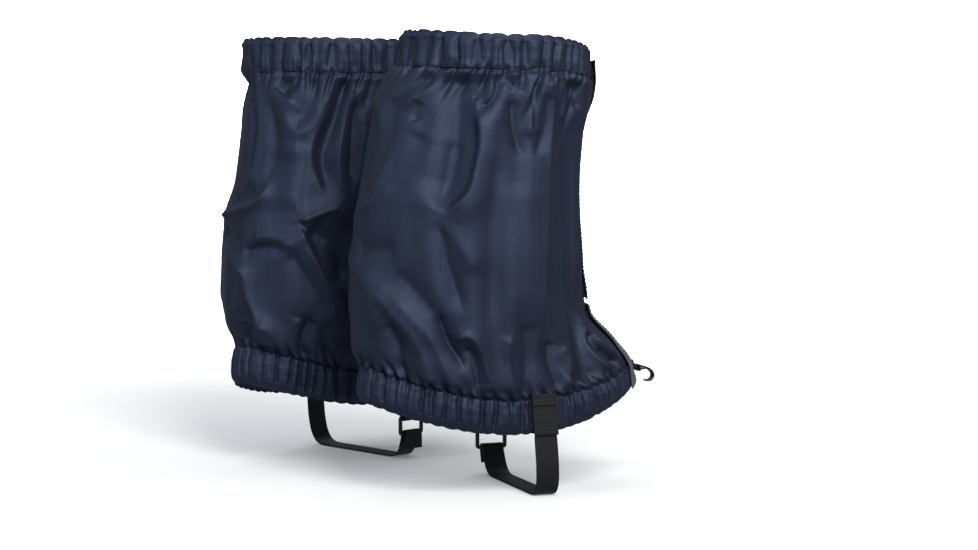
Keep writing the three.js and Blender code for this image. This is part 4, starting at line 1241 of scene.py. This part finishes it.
def make_tabs(leg, body):
    for tag, side in (("outer", -1), ("inner", 1)):
        path = [(54.5, 52, 8.3), (54.5, 53, 8.5), (54.5, 58, 8.5), (54.45, 64, 8.5), (54.3, 70.2, 8.5), (54.25, 71.0, 8.45), (54.2, 71.8, 8.5), (54.1, 75, 8.5), (53.98, 78, 8.5), (53.96, 79, 8.3)]
        o, C, Nd, t = ribbon(leg, f"{leg.name}_strap_tab_{tag}_web", path, 1.0, "webbing", body, side=side)
        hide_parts(f"{leg.name}_strap_tab_{tag}")
        # the folded-over head, one more layer, and its two rows of stitching
        head = [(y + 0.85, z, hw) for y, z, hw in ((54.36, 71.4, 8.3), (54.24, 72.0, 8.45), (54.1, 75, 8.45), (53.98, 78, 8.45), (53.95, 79.2, 8.3))]
        ribbon(leg, f"{leg.name}_strap_tab_{tag}_fold", head, 0.8, "webbing", body, side=side)
        for z, y in ((72.6, 54.2 + 0.85), (77.6, 54.0 + 0.85)):
            xs = np.linspace(-7.2, 7.2, 12)
            line = np.stack([strap_x(z) + xs, np.full(12, side * (y + 0.40)), np.full(12, z)], 1)
            stitches(f"{leg.name}_strap_tab_{tag}_stitch_{int(z)}", leg, line, np.repeat([[0, side, 0]], 12, 0), "thread_dark", body, pitch=2.2, length=1.6, radius=0.2)
        # the seam where the tab leaves the hem's lower edge
        z, y = 54.2, 54.5
        xs = np.linspace(-7.2, 7.2, 12)
        line = np.stack([strap_x(z) + xs, np.full(12, side * (y + 0.5)), np.full(12, z)], 1)
        stitches(f"{leg.name}_strap_tab_{tag}_stitch_low", leg, line, np.repeat([[0, side, 0]], 12, 0), "thread_dark", body, pitch=2.2, length=1.6, radius=0.2)


def make_hook(leg, body, flap_body):
    px, pz = PIVOT
    # webbing loop that holds the hook's bar, sewn to the flap
    tail = [(-4.75, 5.3), (-4.2, 3.2), (-3.65, 1.4), (-3.0, 0.2)]
    up = circle_path((0, 0), 1.95, (190, 225, 270, 315, 0, 45, 90, 135))
    path = [(-4.9, 5.6), (-4.45, 4.0), (-3.7, 2.55), (-1.9, 2.05)] + circle_path((0, 0), 1.95, (95, 50, 0, -50, -95, -140)) + [(-2.3, -0.6), (-3.1, 0.9), (-3.75, 2.2)]
    pts = resample(np.array(path, float), 60)
    n = len(pts)
    C = np.stack([px + pts[:, 0], np.zeros(n), pz + pts[:, 1]], 1)
    T = np.gradient(C, axis=0)
    T /= np.linalg.norm(T, axis=1, keepdims=True)
    Wd = np.repeat([[0, 1.0, 0]], n, 0)
    Nd = np.cross(T, Wd)
    tab = sweep(f"{leg.name}_hook_tab_web", leg, C, Wd, Nd, section_round(7.0, 0.75, 0.3, 3), "webbing", flap_body)
    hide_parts(f"{leg.name}_hook_tab")
    line = np.stack([np.full(8, px - 4.45 + 0.42), np.linspace(-3, 3, 8), np.full(8, pz + 4.3)], 1)
    stitches(f"{leg.name}_hook_tab_stitch", leg, line, np.repeat([[0.966, 0, 0.26]], 8, 0), "thread_dark", flap_body, pitch=1.9, length=1.4, radius=0.18)
    # hook: a wire loop and a flat blade that turns down under a bootlace
    loop = [(px + (b), a, pz) for a, b in [(a, b) for a, b in rounded_loop(0, 1.85, 10.8, 3.7, 1.1, 4)]]
    ring = tube(leg, f"{leg.name}_lace_hook_ring", np.array(loop), 0.95, "steel", body, closed=True)
    line = np.array([(3.0, 0.4), (4.6, 0.3), (6.4, -0.4), (8.0, -1.2), (9.4, -2.2), (10.6, -3.5), (11.2, -5.0), (11.2, -6.5), (10.6, -7.8), (9.6, -8.7), (8.2, -9.2), (6.6, -9.2), (5.2, -8.8)])
    L = resample(line, 44)
    C = np.stack([px + L[:, 0], np.zeros(44), pz + L[:, 1]], 1)
    T = np.gradient(C, axis=0)
    T /= np.linalg.norm(T, axis=1, keepdims=True)
    Wd = np.repeat([[0, 1.0, 0]], 44, 0)
    Nd = np.cross(T, Wd)
    t = np.linspace(0, 1, 44)
    widths = 1.0 - 0.35 * smooth(t, 0.80, 1.0) - 0.10 * smooth(t, 0.1, 0.5)
    blade = sweep(f"{leg.name}_lace_hook_blade", leg, C, Wd, Nd, section_round(6.0, 1.3, 0.5, 3), "steel", body, widths=widths)
    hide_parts(f"{leg.name}_lace_hook")
    return blade


# ------------------------------------------------------------------ the pair
LEGS = {"right": Leg("right", RINGS, 1, FOLDS_RIGHT), "left": Leg("left", LEFT_RINGS, -1, FOLDS_LEFT)}
SEEDS = {"right": 31, "left": 57}


def build(side, flap_top):
    leg = LEGS[side]
    body = f"{side}_gaiter"
    rng = np.random.default_rng(SEEDS[side])
    top = pleats(leg, 10, 9.8, 0.42, rng, 4.6, 1.80, 1.75, 28.0, 2.6)
    bot = pleats(leg, 1, 7.8, 0.36, rng, 3.2, 1.35, 0.85, 18.0, 1.6)
    shell, P = make_shell(leg, top, bot, body)
    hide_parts(f"{side}_shell")
    collar, CP, CN, cs = make_casing(leg, f"{side}_collar_casing_cloth", 10, 11, top, body)
    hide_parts(f"{side}_collar_casing")
    hem, HP, HN, hs = make_casing(leg, f"{side}_hem_casing_cloth", 1, 0, bot, body, cap_side=(17.0, 9.5, 2.7))
    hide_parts(f"{side}_hem_casing")
    for nm, (w, e) in (("collar", (10, 11)), ("hem", (1, 0))):
        el = make_elastic(leg, f"{side}_{nm}_elastic_band", w, e, body)
        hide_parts(f"{side}_{nm}_elastic")
    for nm, Q, NN in (("collar", CP, CN), ("hem", HP, HN)):
        stitches(f"{side}_{nm}_topstitch", leg, Q[:, 26], NN[:, 26], "thread", body, pitch=2.6, length=1.9, radius=0.19, lift=0.02)
        stitches(f"{side}_{nm}_waist_stitch", leg, Q[:, 1], NN[:, 1], "thread", body, pitch=2.6, length=1.9, radius=0.19, lift=0.04)
    ft = make_tape(leg, f"{side}_front_hook_strip", 3.4, 9.7, 0.45, "tape", body, 3, 230)
    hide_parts(f"{side}_front_hook_tape")
    it = make_tape(leg, f"{side}_instep_hook_strip", 1.15, 2.95, 0.45, "tape", body, 4, 80)
    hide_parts(f"{side}_instep_hook_tape")
    fl = make_tape(leg, f"{side}_flap_loop_strip", 3.4, 9.7, 1.10, "tape", f"{side}_front_flap", 5, 230)
    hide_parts(f"{side}_flap_loop_tape")
    il = make_tape(leg, f"{side}_instep_loop_strip", 1.15, 2.95, 1.10, "tape", f"{side}_instep_flap", 6, 80)
    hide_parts(f"{side}_instep_loop_tape")
    ff, ffp, *_ = make_front_flap(leg, flap_top)
    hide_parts(f"{side}_front_flap")
    inf, infp, *_ = make_instep_flap(leg)
    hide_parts(f"{side}_instep_flap")
    make_print(leg, f"{side}_instep_flap")
    make_strap(leg, f"{side}_strap", body)
    make_tabs(leg, body)
    make_hook(leg, f"{side}_lace_hook", f"{side}_instep_flap")


build("right", 10.6)
build("left", 10.75)
